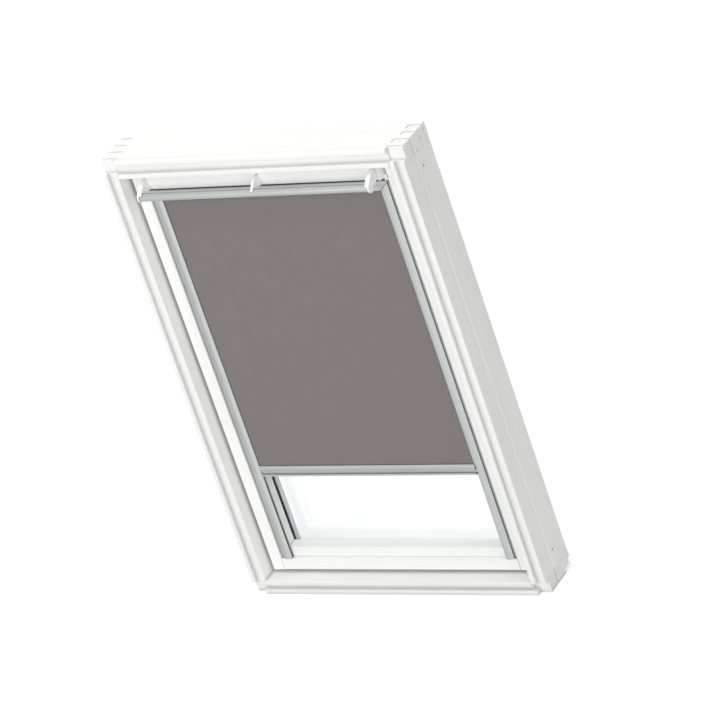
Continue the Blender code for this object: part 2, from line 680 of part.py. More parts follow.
def build_sash(sash):
    """Build the stiles and rails, coped together, with their pockets and the vent slots."""
    rail_low = SASH_BOTTOM + RAIL_FACE_HEIGHT
    bottom_rail = prism("sash_bottom_rail", rounded([
        (SASH_FACE_DEPTH, SASH_BOTTOM, TIMBER_ROUNDING),
        (SASH_FACE_DEPTH, rail_low, TIMBER_ROUNDING),
        (SHELF_DEPTH, rail_low),
        (SHELF_DEPTH, SASH_BOTTOM + RAIL_SHELF_HEIGHT, RAIL_ROUNDING),
        (REBATE_FACE_DEPTH, GLASS_BOTTOM, TIMBER_ROUNDING / 2),
        (REBATE_FACE_DEPTH, REBATE_BOTTOM),
        (SASH_BACK_DEPTH, REBATE_BOTTOM),
        (SASH_BACK_DEPTH, SASH_BOTTOM, TIMBER_ROUNDING),
    ]), "X", -SASH_X, SASH_X, "painted_sash", sash)
    face_low = SASH_TOP - TOP_RAIL_FACE_HEIGHT
    top_rail = prism("sash_top_rail", rounded([
        (SASH_FACE_DEPTH, face_low, TIMBER_ROUNDING),
        (SASH_FACE_DEPTH, SASH_TOP, TIMBER_ROUNDING),
        (SASH_BACK_DEPTH, SASH_TOP, TIMBER_ROUNDING),
        (SASH_BACK_DEPTH, GLASS_TOP + REBATE_WIDTH),
        (REBATE_FACE_DEPTH, GLASS_TOP + REBATE_WIDTH),
        (REBATE_FACE_DEPTH, GLASS_TOP),
        (ROLL_RECESS_DEPTH, GLASS_TOP, TIMBER_ROUNDING),
        (ROLL_RECESS_DEPTH, face_low),
    ]), "X", -SASH_X, SASH_X, "painted_sash", sash)
    slot_low = face_low + VENT_SLOT_ABOVE_FACE
    slot_high = slot_low + VENT_SLOT_HEIGHT
    for sign, word in ((-1, "left"), (1, "right")):
        outline = stile_outline() if sign > 0 else mirrored(stile_outline())
        stile = prism(f"sash_stile_{word}", outline, "Z", SASH_BOTTOM, SASH_TOP,
                      "painted_sash", sash)
        coping = coping_outline() if sign > 0 else mirrored(coping_outline())
        cope = cutter(f"coping_cut_{word}", coping, "Z", SASH_BOTTOM - SASH_GAP,
                      SASH_TOP + SASH_GAP)
        boolean(bottom_rail, cope)
        boolean(top_rail, cope)
        pocket = cutter(f"sash_hinge_pocket_{word}", rectangle(
            PIVOT_DEPTH - HINGE_PLATE_DEPTH / 2 - TOUCH, PIVOT_DEPTH + HINGE_PLATE_DEPTH / 2 + TOUCH,
            PIVOT_Z - SASH_PLATE_HEIGHT / 2 - TOUCH, PIVOT_Z + SASH_PLATE_HEIGHT / 2 + TOUCH),
            "X", sign * (SASH_X - HINGE_PLATE_THICKNESS - TOUCH), sign * (SASH_X + TOUCH))
        boolean(stile, pocket)
        bush_hole = cutter(f"bush_hole_{word}", circle((PIVOT_DEPTH, PIVOT_Z),
                           PIVOT_BUSH_RADIUS + TOUCH), "X",
                           sign * (SASH_X - PIVOT_PIN_BITE - 3 * TOUCH), sign * (SASH_X + TOUCH))
        boolean(stile, bush_hole)
        vent = cutter(f"vent_slot_{word}", rectangle(
            SASH_FACE_DEPTH - SASH_STEP, SASH_BACK_DEPTH + SASH_STEP, slot_low, slot_high), "X",
            sign * VENT_SLOT_START, sign * VENT_SLOT_END)
        boolean(top_rail, vent)
        prism(f"vent_filter_{word}", rectangle(
            VENT_FILTER_FRONT, VENT_FILTER_BACK, slot_low + TOUCH, slot_high - TOUCH), "X",
            sign * (VENT_SLOT_START + TOUCH), sign * (VENT_SLOT_END - TOUCH), "grey_foam", sash)
    lock_low = SASH_TOP - LOCK_HEIGHT
    lock_cut = cutter("lock_pocket", rectangle(
        LOCK_FRONT_DEPTH - TOUCH, LOCK_BACK_DEPTH + TOUCH, lock_low - TOUCH, SASH_TOP + SASH_GAP),
        "X", -LOCK_HALF_WIDTH - TOUCH, LOCK_HALF_WIDTH + TOUCH)
    boolean(top_rail, lock_cut)
    lock = prism("lock_case", rectangle(LOCK_FRONT_DEPTH, LOCK_BACK_DEPTH, lock_low, SASH_TOP),
                 "X", -LOCK_HALF_WIDTH, LOCK_HALF_WIDTH, "zinc_steel", sash)
    middle = (LOCK_FRONT_DEPTH + LOCK_BACK_DEPTH) / 2
    shaft = cutter("latch_shaft", rectangle(
        middle - LATCH_THICKNESS / 2 - TOUCH, middle + LATCH_THICKNESS / 2 + TOUCH,
        SASH_TOP - LATCH_BODY - LATCH_RISE - TOUCH, SASH_TOP + SASH_GAP), "X",
        -LATCH_HALF_WIDTH - TOUCH, LATCH_HALF_WIDTH + TOUCH)
    boolean(lock, shaft)
    latch = pivot_empty("latch_slide_axis", middle, SASH_TOP)
    prism("latch_tongue", [
        (middle - LATCH_THICKNESS / 2, SASH_TOP - LATCH_BODY),
        (middle + LATCH_THICKNESS / 2, SASH_TOP - LATCH_BODY),
        (middle + LATCH_THICKNESS / 2, SASH_TOP + LATCH_RISE),
        (middle - LATCH_THICKNESS / 6, SASH_TOP + LATCH_RISE),
        (middle - LATCH_THICKNESS / 2, SASH_TOP + LATCH_RISE / 4),
    ], "X", -LATCH_HALF_WIDTH, LATCH_HALF_WIDTH, "zinc_steel", latch)


def build_glazing(sash):
    """Build the double-glazed unit, its bed, the sash seal and the outer sash covers."""
    pane = (PANE_X, PANE_BOTTOM, PANE_TOP)
    sight = (REVEAL_X, GLASS_BOTTOM - BOTTOM_BED_INSET, GLASS_TOP)
    window_ring("glazing_bed", sight, pane, REBATE_FACE_DEPTH + TOUCH,
                REBATE_FACE_DEPTH + TOUCH + BED_THICKNESS, "black_rubber", sash)
    for word, front, back in (("inner", INNER_PANE_FRONT, INNER_PANE_BACK),
                              ("outer", OUTER_PANE_FRONT, OUTER_PANE_BACK)):
        prism(f"pane_{word}", rectangle(-PANE_X, PANE_X, PANE_BOTTOM, PANE_TOP), "Y",
              front, back, "clear_glass", sash)
    inner_edge = SPACER_INSET
    outer_edge = SPACER_INSET + SPACER_WIDTH
    low_edge = PANE_BOTTOM + PANE_BITE - outer_edge
    inside = (REVEAL_X + inner_edge, low_edge + SPACER_WIDTH, GLASS_TOP + inner_edge)
    outside = (REVEAL_X + outer_edge, low_edge, GLASS_TOP + outer_edge)
    window_ring("pane_spacer", inside, outside, INNER_PANE_BACK + TOUCH,
                OUTER_PANE_FRONT - TOUCH, "spacer_metal", sash)
    seal_edge = outer_edge + TOUCH
    seal_inside = (REVEAL_X + seal_edge, low_edge - TOUCH, GLASS_TOP + seal_edge)
    window_ring("edge_seal", seal_inside, pane, INNER_PANE_BACK + TOUCH,
                OUTER_PANE_FRONT - TOUCH, "black_rubber", sash)
    around = (SASH_X + TOUCH, SASH_BOTTOM - TOUCH, SASH_TOP + TOUCH)
    proud = (SASH_X + SASH_SEAL_HEIGHT, SASH_BOTTOM - SASH_SEAL_HEIGHT,
             SASH_TOP + SASH_SEAL_HEIGHT)
    seal_depth = SASH_BACK_DEPTH - 2 * SASH_SEAL_HALF_DEPTH
    window_ring("sash_seal", around, proud, seal_depth - SASH_SEAL_HALF_DEPTH,
                seal_depth + SASH_SEAL_HALF_DEPTH, "black_rubber", sash)
    seat = SASH_BACK_DEPTH + TOUCH
    inner = REVEAL_X + COVER_INSET
    section = cover_section(inner, SASH_X, seat, COVER_RISE)
    for sign, word in ((-1, "left"), (1, "right")):
        outline = section if sign > 0 else mirrored(section)
        prism(f"sash_cover_{word}", outline, "Z", SASH_BOTTOM, SASH_TOP,
              "lacquered_aluminium", sash)
    span = inner - TOUCH
    for word, low, high in (("bottom", SASH_BOTTOM, GLASS_BOTTOM - BOTTOM_COVER_INSET),
                            ("top", GLASS_TOP + COVER_INSET, SASH_TOP)):
        outline = [(depth, height) for height, depth in
                   cover_section(low, high, seat, COVER_RISE)]
        prism(f"sash_cover_{word}", outline, "X", -span, span, "lacquered_aluminium", sash)


def flap_front(share):
    """Return a point of the flap's bowed front, from its barrel (0) up to its top edge (1)."""
    top = SASH_TOP - FLAP_TOP_UNDER_SASH_TOP
    foot = FLAP_AXIS_DEPTH - FLAP_BARREL_RADIUS
    depth = FLAP_FRONT_DEPTH + (foot - FLAP_FRONT_DEPTH) * (1 - share) ** 2.2
    return depth, FLAP_AXIS_Z + (top - FLAP_AXIS_Z) * share


def flap_outline():
    """Return the flap's section: a bowed front sheet that rolls into its hinge barrel."""
    top = SASH_TOP - FLAP_TOP_UNDER_SASH_TOP
    wall = FLAP_WALL
    lip_back = FLAP_AXIS_DEPTH + FLAP_BARREL_RADIUS
    steps = 8
    outer = [flap_front(step / steps) for step in range(steps + 1)]
    inner = [(depth + wall, height) for depth, height in outer[3:-1]]
    inner.append((outer[-1][0] + wall, top - wall))
    barrel = arc((FLAP_AXIS_DEPTH, FLAP_AXIS_Z), FLAP_BARREL_RADIUS, 180, 410, 12)[1:]
    return barrel + inner + [(lip_back, top - wall), (lip_back, top)] + outer[::-1]


def arm_outline():
    """Return an arm's section: a bowed front edge, a vaulted underside and a ring for the bar."""
    bar = (CONTROL_BAR_DEPTH, CONTROL_BAR_Z)
    grip = CONTROL_BAR_RADIUS + ARM_COLLAR
    low_share = 0.0
    high_share = 1.0 - ARM_TOP_UNDER_SASH_TOP / FLAP_AXIS_UNDER_SASH_TOP
    steps = 6
    root = []
    for step in range(steps + 1):
        depth, height = flap_front(low_share + (high_share - low_share) * step / steps)
        root.append((depth - TOUCH, height))
    start = root[-1]
    lead = arc(bar, grip, GRIP_START_DEGREES, 360, 16)
    crown = []
    for step in range(1, steps):
        share = step / steps
        bulge = ARM_CROWN_BOW * math.sin(math.pi * share)
        crown.append((start[0] + (lead[0][0] - start[0]) * share - bulge / 3,
                      start[1] + (lead[0][1] - start[1]) * share + bulge))
    vault = []
    inner_end = lead[-1]
    for step in range(1, steps):
        share = step / steps
        hollow = ARM_VAULT_BOW * math.sin(math.pi * share)
        vault.append((inner_end[0] + (root[0][0] - inner_end[0]) * share,
                      inner_end[1] + (root[0][1] - inner_end[1]) * share + hollow))
    return crown + lead + vault + root


def build_flap(flap, sash):
    """Build the ventilation flap, its end cheeks, the three arms and the control bar."""
    body = prism("ventilation_flap", flap_outline(), "X", -FLAP_HALF_LENGTH, FLAP_HALF_LENGTH,
                 "white_plastic", flap, smooth=True)
    bore = cutter("flap_pin_bore", circle((FLAP_AXIS_DEPTH, FLAP_AXIS_Z),
                  FLAP_PIN_RADIUS + PIVOT_CLEARANCE, 16), "X",
                  -FLAP_HALF_LENGTH - TOUCH, FLAP_HALF_LENGTH + TOUCH)
    boolean(body, bore)
    top = SASH_TOP - FLAP_TOP_UNDER_SASH_TOP
    cheek = rounded([
        (FLAP_AXIS_DEPTH - 2 * FLAP_BARREL_RADIUS, FLAP_AXIS_Z - FLAP_BARREL_RADIUS,
         FLAP_BARREL_RADIUS),
        (SASH_FACE_DEPTH - TOUCH, FLAP_AXIS_Z - FLAP_BARREL_RADIUS),
        (SASH_FACE_DEPTH - TOUCH, top),
        (FLAP_FRONT_DEPTH + FLAP_WALL, top, FLAP_BARREL_RADIUS),
    ])
    for sign, word in ((-1, "left"), (1, "right")):
        inner = sign * (FLAP_HALF_LENGTH + TOUCH)
        prism(f"flap_cheek_{word}", cheek, "X", inner, inner + sign * CHEEK_THICKNESS,
              "white_plastic", sash)
    prism("flap_hinge_rod", circle((FLAP_AXIS_DEPTH, FLAP_AXIS_Z), FLAP_PIN_RADIUS, 16), "X",
          -FLAP_HALF_LENGTH, FLAP_HALF_LENGTH, "zinc_steel", sash, smooth=True)
    bar_axis = (CONTROL_BAR_DEPTH, CONTROL_BAR_Z)
    bar_hole = cutter("control_bar_bore", circle(bar_axis, CONTROL_BAR_RADIUS + TOUCH), "X",
                      -BAR_SEAT_X, BAR_SEAT_X)
    mouth = [bar_axis] + arc(bar_axis, CONTROL_BAR_RADIUS + 2 * ARM_COLLAR,
                             GRIP_START_DEGREES + 2, GRIP_END_DEGREES, 10)
    clip_mouth = cutter("arm_clip_mouth", mouth, "X", -BAR_SEAT_X, BAR_SEAT_X)
    end_arm = FLAP_HALF_LENGTH - END_ARM_THICKNESS
    for start, end, word in ((-FLAP_HALF_LENGTH, -end_arm, "left"),
                             (-ARM_THICKNESS / 2, ARM_THICKNESS / 2, "centre"),
                             (end_arm, FLAP_HALF_LENGTH, "right")):
        arm = prism(f"flap_arm_{word}", arm_outline(), "X", start, end, "white_plastic", flap,
                    smooth=True)
        boolean(arm, bar_hole)
        boolean(arm, clip_mouth)
    prism("control_bar", circle(bar_axis, CONTROL_BAR_RADIUS), "X", TOUCH - BAR_SEAT_X,
          BAR_SEAT_X - TOUCH, "anodised_aluminium", flap, smooth=True)


def casing_front(depth_shift=0.0):
    """Return the front of the casing's section from bottom to top: two shallow ridges."""
    front = CASING_FRONT_DEPTH + depth_shift
    ridge = front - CASING_RIDGE
    height = CASING_TOP - CASING_BOTTOM
    return [
        (front + CASING_RIDGE, CASING_BOTTOM),
        (front, CASING_BOTTOM + 0.10 * height),
        (front, CASING_BOTTOM + 0.40 * height),
        (ridge, CASING_BOTTOM + 0.46 * height),
        (ridge, CASING_BOTTOM + 0.58 * height),
        (front, CASING_BOTTOM + 0.64 * height),
        (front, CASING_BOTTOM + 0.88 * height),
        (front + CASING_RIDGE, CASING_TOP),
    ]


def channel_outline():
    """Return the section of the right side channel with its slot, (x, depth)."""
    crown_x = CHANNEL_INNER + 0.45 * (CHANNEL_WIDTH - CHANNEL_FLANGE)
    cover_edge = CHANNEL_OUTER - CHANNEL_FLANGE
    seat = SHELF_DEPTH - TOUCH
    return rounded([
        (CHANNEL_INNER, CHANNEL_SLOT_FRONT),
        (CHANNEL_INNER, CHANNEL_SHOULDER_DEPTH, CHANNEL_INNER_EDGE),
        (crown_x, CHANNEL_CROWN_DEPTH, CHANNEL_WIDTH / 2),
        (cover_edge, CHANNEL_SHOULDER_DEPTH, CHANNEL_INNER_EDGE),
        (cover_edge, CHANNEL_FLANGE_DEPTH),
        (CHANNEL_OUTER, CHANNEL_FLANGE_DEPTH),
        (CHANNEL_OUTER, seat),
        (CHANNEL_INNER, seat),
        (CHANNEL_INNER, CHANNEL_SLOT_BACK),
        (CHANNEL_INNER + CHANNEL_SLOT_REACH, CHANNEL_SLOT_BACK),
        (CHANNEL_INNER + CHANNEL_SLOT_REACH, CHANNEL_SLOT_FRONT),
    ])


def build_blind_guides(sash):
    """Build the casing, its mitred corners and the two side channels."""
    wall = CASING_WALL
    back = CASING_BACK_DEPTH
    inside_front = CASING_FRONT_DEPTH + CASING_RIDGE + wall
    front = casing_front()
    casing = front + [
        (back, CASING_TOP),
        (back, CASING_BOTTOM),
        (CASING_SLOT_BACK, CASING_BOTTOM),
        (CASING_SLOT_BACK, CASING_BOTTOM + wall),
        (back - wall, CASING_BOTTOM + wall),
        (back - wall, CASING_TOP - wall),
        (inside_front, CASING_TOP - wall),
        (inside_front, CASING_BOTTOM + wall),
        (CASING_SLOT_FRONT, CASING_BOTTOM + wall),
        (CASING_SLOT_FRONT, CASING_BOTTOM),
    ]
    span = CHANNEL_INNER - TOUCH
    prism("blind_casing", casing, "X", -span, span, "anodised_aluminium", sash)
    solid = front + [(back, CASING_TOP), (back, CASING_BOTTOM)]
    beyond = 0.020
    for sign, word in ((-1, "left"), (1, "right")):
        outline = channel_outline() if sign > 0 else mirrored(channel_outline())
        channel = prism(f"side_channel_{word}", outline, "Z", CHANNEL_BOTTOM, CASING_TOP,
                        "anodised_aluminium", sash, smooth=True)
        corner = prism(f"casing_corner_{word}", solid, "X", sign * CHANNEL_INNER,
                       sign * CHANNEL_OUTER, "anodised_aluminium", sash)
        slope = (CASING_TOP - CASING_BOTTOM) / CHANNEL_WIDTH
        line = [
            (CHANNEL_INNER - beyond, CASING_BOTTOM - beyond * slope),
            (CHANNEL_OUTER + beyond, CASING_TOP + beyond * slope),
        ]
        under = [(x, z + JOINT_GAP / 2) for x, z in line]
        over = [(x, z - JOINT_GAP / 2) for x, z in line]
        under.append((CHANNEL_OUTER + beyond, CASING_BOTTOM - 2 * beyond))
        over.append((CHANNEL_INNER - beyond, CASING_TOP + 2 * beyond))
        if sign < 0:
            under = mirrored(under)
            over = mirrored(over)
        corner_cut = cutter(f"corner_mitre_{word}", under, "Y", CASING_FRONT_DEPTH - beyond,
                            SHELF_DEPTH)
        channel_cut = cutter(f"channel_mitre_{word}", over, "Y", CASING_FRONT_DEPTH - beyond,
                             SHELF_DEPTH + beyond)
        shelf = cutter(f"corner_shelf_{word}", rectangle(
            REVEAL_X - TOUCH, STEP_X + beyond, SHELF_DEPTH - TOUCH, CASING_BACK_DEPTH + beyond)
            if sign > 0 else rectangle(
            -STEP_X - beyond, TOUCH - REVEAL_X, SHELF_DEPTH - TOUCH, CASING_BACK_DEPTH + beyond),
            "Z", CASING_BOTTOM - beyond, CASING_TOP + beyond)
        boolean(corner, shelf)
        boolean(corner, corner_cut)
        boolean(channel, channel_cut)
        pocket_end = sign * (CLOTH_X + ROLL_POCKET)
        pocket = cutter(f"roll_pocket_{word}", circle((ROLLER_DEPTH, ROLLER_Z),
                        ROLL_RADIUS + ROLL_POCKET), "X", sign * (CHANNEL_INNER - TOUCH),
                        pocket_end)
        way = cutter(f"cloth_way_{word}", rectangle(CASING_SLOT_FRONT, CASING_SLOT_BACK,
                     CASING_BOTTOM - beyond, ROLLER_Z), "X", sign * (CHANNEL_INNER - TOUCH),
                     pocket_end)
        boolean(corner, pocket)
        boolean(channel, pocket)
        boolean(corner, way)
        pin_end = REVEAL_X - 2 * TOUCH
        pin_bore = cutter(f"roller_pin_bore_{word}", circle((ROLLER_DEPTH, ROLLER_Z),
                          ROLLER_PIN_RADIUS + PIVOT_CLEARANCE, 16), "X", sign * span,
                          sign * (pin_end + beyond))
        boolean(corner, pin_bore)
        pin_start = PLUG_INNER_END if sign < 0 else PLUG_INNER_END - SPRING_SHAFT
        name = "roller_pin" if sign < 0 else "spring_shaft"
        prism(name, circle((ROLLER_DEPTH, ROLLER_Z), ROLLER_PIN_RADIUS, 16), "X",
              sign * pin_start, sign * pin_end, "zinc_steel", sash, smooth=True)


def build_roller(roller):
    """Build the roller tube, its plugs, the wound cloth and the return spring inside."""
    axis = (ROLLER_DEPTH, ROLLER_Z)
    tube = prism("roller_tube", circle(axis, ROLLER_TUBE_RADIUS), "X", -TUBE_END, TUBE_END,
                 "anodised_aluminium", roller, smooth=True)
    bore = cutter("tube_bore", circle(axis, ROLLER_TUBE_RADIUS - ROLLER_TUBE_WALL), "X",
                  -HALF_WIDTH, HALF_WIDTH)
    boolean(tube, bore)
    wound = prism("wound_cloth", circle(axis, ROLL_RADIUS), "X", -CLOTH_X, CLOTH_X,
                  "taupe_cloth", roller, smooth=True)
    core = cutter("wound_core", circle(axis, ROLLER_TUBE_RADIUS + TOUCH), "X",
                  -HALF_WIDTH, HALF_WIDTH)
    boolean(wound, core)
    for sign, word in ((-1, "left"), (1, "right")):
        plug = prism(f"tube_plug_{word}", circle(axis, ROLLER_TUBE_RADIUS - ROLLER_TUBE_WALL
                     - TOUCH), "X", sign * PLUG_INNER_END, sign * TUBE_END,
                     "white_plastic", roller, smooth=True)
        hole = cutter(f"plug_bore_{word}", circle(axis, ROLLER_PIN_RADIUS + PIVOT_CLEARANCE, 16),
                      "X", sign * (PLUG_INNER_END - TOUCH), sign * HALF_WIDTH)
        boolean(plug, hole)
    curve = bpy.data.curves.new("return_spring", "CURVE")
    curve.dimensions = "3D"
    curve.bevel_depth = SPRING_WIRE_RADIUS
    curve.bevel_resolution = 1
    curve.use_fill_caps = True
    spline = curve.splines.new("POLY")
    steps = SPRING_TURNS * 10
    spline.points.add(steps)
    start = PLUG_INNER_END - 2 * TOUCH - SPRING_WIRE_RADIUS - SPRING_LENGTH
    reach = ROLLER_PIN_RADIUS + TOUCH + SPRING_WIRE_RADIUS
    for step in range(steps + 1):
        angle = 2 * math.pi * SPRING_TURNS * step / steps
        along = start + SPRING_LENGTH * step / steps
        spline.points[step].co = (along, reach * math.cos(angle), reach * math.sin(angle), 1.0)
    curve.materials.append(finish("zinc_steel"))
    spring = bpy.data.objects.new("return_spring", curve)
    bpy.context.scene.collection.objects.link(spring)
    spring.location = (0.0, at_depth(ROLLER_DEPTH), ROLLER_Z)


def bottom_bar_outline():
    """Return the bottom bar's section: flat top band, ridge, finger groove and pull lip."""
    front = BOTTOM_BAR_FRONT_DEPTH
    back = BOTTOM_BAR_BACK_DEPTH
    top = BOTTOM_BAR_TOP
    height = BOTTOM_BAR_HEIGHT
    groove = CHANNEL_SLOT_FRONT
    return rounded([
        (back, top),
        (front + 0.25 * (back - front), top, LIP_ROUNDING / 2),
        (front + 0.15 * (back - front), top - 0.36 * height),
        (front, top - 0.40 * height, LIP_ROUNDING / 2),
        (front, top - 0.46 * height, LIP_ROUNDING / 2),
        (groove, top - 0.52 * height, LIP_ROUNDING),
        (groove, top - 0.76 * height, LIP_ROUNDING),
        (front, top - 0.82 * height, LIP_ROUNDING / 2),
        (front, BOTTOM_BAR_LOW, LIP_ROUNDING),
        (back, BOTTOM_BAR_LOW, LIP_ROUNDING / 2),
    ])


def build_blind_bar(bar, sash):
    """Build the bottom bar, its two sliders and the cloth down to it."""
    prism("blind_bottom_bar", bottom_bar_outline(), "X", -BOTTOM_BAR_X, BOTTOM_BAR_X,
          "anodised_aluminium", bar)
    middle = BOTTOM_BAR_TOP - BOTTOM_BAR_HEIGHT / 2
    slot_middle = (CHANNEL_SLOT_FRONT + CHANNEL_SLOT_BACK) / 2
    slider = rounded([
        (slot_middle - SLIDER_THICKNESS / 2, middle - SLIDER_HEIGHT / 2, LIP_ROUNDING),
        (slot_middle + SLIDER_THICKNESS / 2, middle - SLIDER_HEIGHT / 2, LIP_ROUNDING),
        (slot_middle + SLIDER_THICKNESS / 2, middle + SLIDER_HEIGHT / 2, LIP_ROUNDING),
        (slot_middle - SLIDER_THICKNESS / 2, middle + SLIDER_HEIGHT / 2, LIP_ROUNDING),
    ])
    for sign, word in ((-1, "left"), (1, "right")):
        prism(f"bar_slider_{word}", slider, "X", sign * (BOTTOM_BAR_X + TOUCH),
              sign * (BOTTOM_BAR_X + SLIDER_REACH), "black_rubber", bar)
    prism("blind_cloth", rectangle(CLOTH_DEPTH - CLOTH_THICKNESS / 2,
          CLOTH_DEPTH + CLOTH_THICKNESS / 2, BOTTOM_BAR_TOP + TOUCH, ROLLER_Z), "X",
          -CLOTH_X, CLOTH_X, "taupe_cloth", sash)


def main():
    """Build the window from the frame inwards."""
    clear_scene()
    build_frame()
    build_frame_covers()
    sash = pivot_empty("sash_pivot_axis", PIVOT_DEPTH, PIVOT_Z)
    flap = pivot_empty("flap_hinge_axis", FLAP_AXIS_DEPTH, FLAP_AXIS_Z)
    roller = pivot_empty("roller_axis", ROLLER_DEPTH, ROLLER_Z)
    bar = pivot_empty("blind_slide_axis", CLOTH_DEPTH, BOTTOM_BAR_TOP)
    build_pivots(sash)
    build_sash(sash)
    build_glazing(sash)
    build_flap(flap, sash)
    build_blind_guides(sash)
    build_roller(roller)
    build_blind_bar(bar, sash)


main()
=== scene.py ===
"""Looks of a centre-pivot roof window with its roller blind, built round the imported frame.

Metres, +Z from sill to head, +X to the right as seen from the room, +Y outwards.
"""

import logging
import math
from dataclasses import dataclass, field
from enum import Enum
from typing import Any, Callable, Dict, List, Optional, Sequence, Tuple

import bpy
from mathutils import Matrix, Vector


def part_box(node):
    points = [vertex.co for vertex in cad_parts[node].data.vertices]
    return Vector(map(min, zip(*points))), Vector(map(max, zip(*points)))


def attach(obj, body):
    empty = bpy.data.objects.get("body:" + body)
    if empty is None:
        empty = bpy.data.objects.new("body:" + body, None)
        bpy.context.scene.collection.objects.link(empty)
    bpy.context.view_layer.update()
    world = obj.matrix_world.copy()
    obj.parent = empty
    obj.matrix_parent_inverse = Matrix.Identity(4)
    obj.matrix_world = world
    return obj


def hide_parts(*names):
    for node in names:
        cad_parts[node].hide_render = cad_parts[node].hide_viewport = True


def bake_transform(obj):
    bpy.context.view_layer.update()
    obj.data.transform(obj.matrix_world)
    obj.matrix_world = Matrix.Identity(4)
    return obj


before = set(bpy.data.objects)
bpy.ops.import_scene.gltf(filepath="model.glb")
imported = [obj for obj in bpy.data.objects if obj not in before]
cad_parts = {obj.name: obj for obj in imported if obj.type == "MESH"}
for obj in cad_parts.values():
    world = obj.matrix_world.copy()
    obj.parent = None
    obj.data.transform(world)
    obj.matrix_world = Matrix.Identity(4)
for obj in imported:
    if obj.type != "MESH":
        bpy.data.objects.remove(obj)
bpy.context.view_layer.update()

LOG = logging.getLogger("roof_window")
Colour = Tuple[float, float, float, float]
Pair = Tuple[float, float]
Place = Tuple[float, float, float]
WHITE = (1.0, 1.0, 1.0, 1.0)
SIDES = (("left", -1), ("right", 1))
CRISP_EDGE = 0.0003


class Grain(Enum):
    """Direction in which a timber's fibres or an extrusion's die lines run."""

    ALONG_X = (1.0, 0.0, 0.0)
    ALONG_Z = (0.0, 0.0, 1.0)


def linear(value: str) -> Colour:
    """Turn an sRGB hex colour into linear values.

    Args:
        value: The colour as six hex digits.

    Returns:
        Linear red, green and blue, and a full alpha.
    """
    channels = [int(value[index:index + 2], 16) / 255 for index in (0, 2, 4)]
    straight = [c / 12.92 if c <= 0.04045 else ((c + 0.055) / 1.055) ** 2.4 for c in channels]
    return (*straight, 1.0)


def add_node(owner: bpy.types.ID, kind: str, settings: Optional[dict] = None,
             links: Optional[dict] = None) -> bpy.types.Node:
    """Add a node to a material or world, with its settings and what is linked into it.

    Args:
        owner: The material or world whose tree gets the node.
        kind: The node's type.
        settings: Attribute names, or socket names or numbers, and their values.
        links: Socket names or numbers, and the output socket that feeds each.

    Returns:
        The new node.
    """
    made = owner.node_tree.nodes.new(kind)
    for key, value in (settings or {}).items():
        if isinstance(key, str) and hasattr(made, key):
            setattr(made, key, value)
        else:
            made.inputs[key].default_value = value
    for key, source in (links or {}).items():
        owner.node_tree.links.new(source, made.inputs[key])
    return made


def linked(name: str, data: bpy.types.ID) -> bpy.types.Object:
    """Put an object with a mesh, lamp or camera into the scene.

    Args:
        name: The object's name.
        data: Its mesh, lamp or camera.

    Returns:
        The object.
    """
    holder = bpy.data.objects.new(name, data)
    bpy.context.scene.collection.objects.link(holder)
    return holder


def middle_of(low: Place, high: Place) -> List[float]:
    """Find the place halfway between two corners."""
    return [(a + b) / 2 for a, b in zip(low, high)]


def on_side(side: int, low: Place, high: Place) -> Tuple[Place, Place]:
    """Mirror a block that is given for the right side, if the left one is asked for.

    Args:
        side: 1 for the right side, -1 for the left one.
        low: The right block's lowest corner.
        high: Its highest corner.

    Returns:
        The lowest and the highest corner of the block on that side.
    """
    across = sorted((side * low[0], side * high[0]))
    return (across[0], *low[1:]), (across[1], *high[1:])


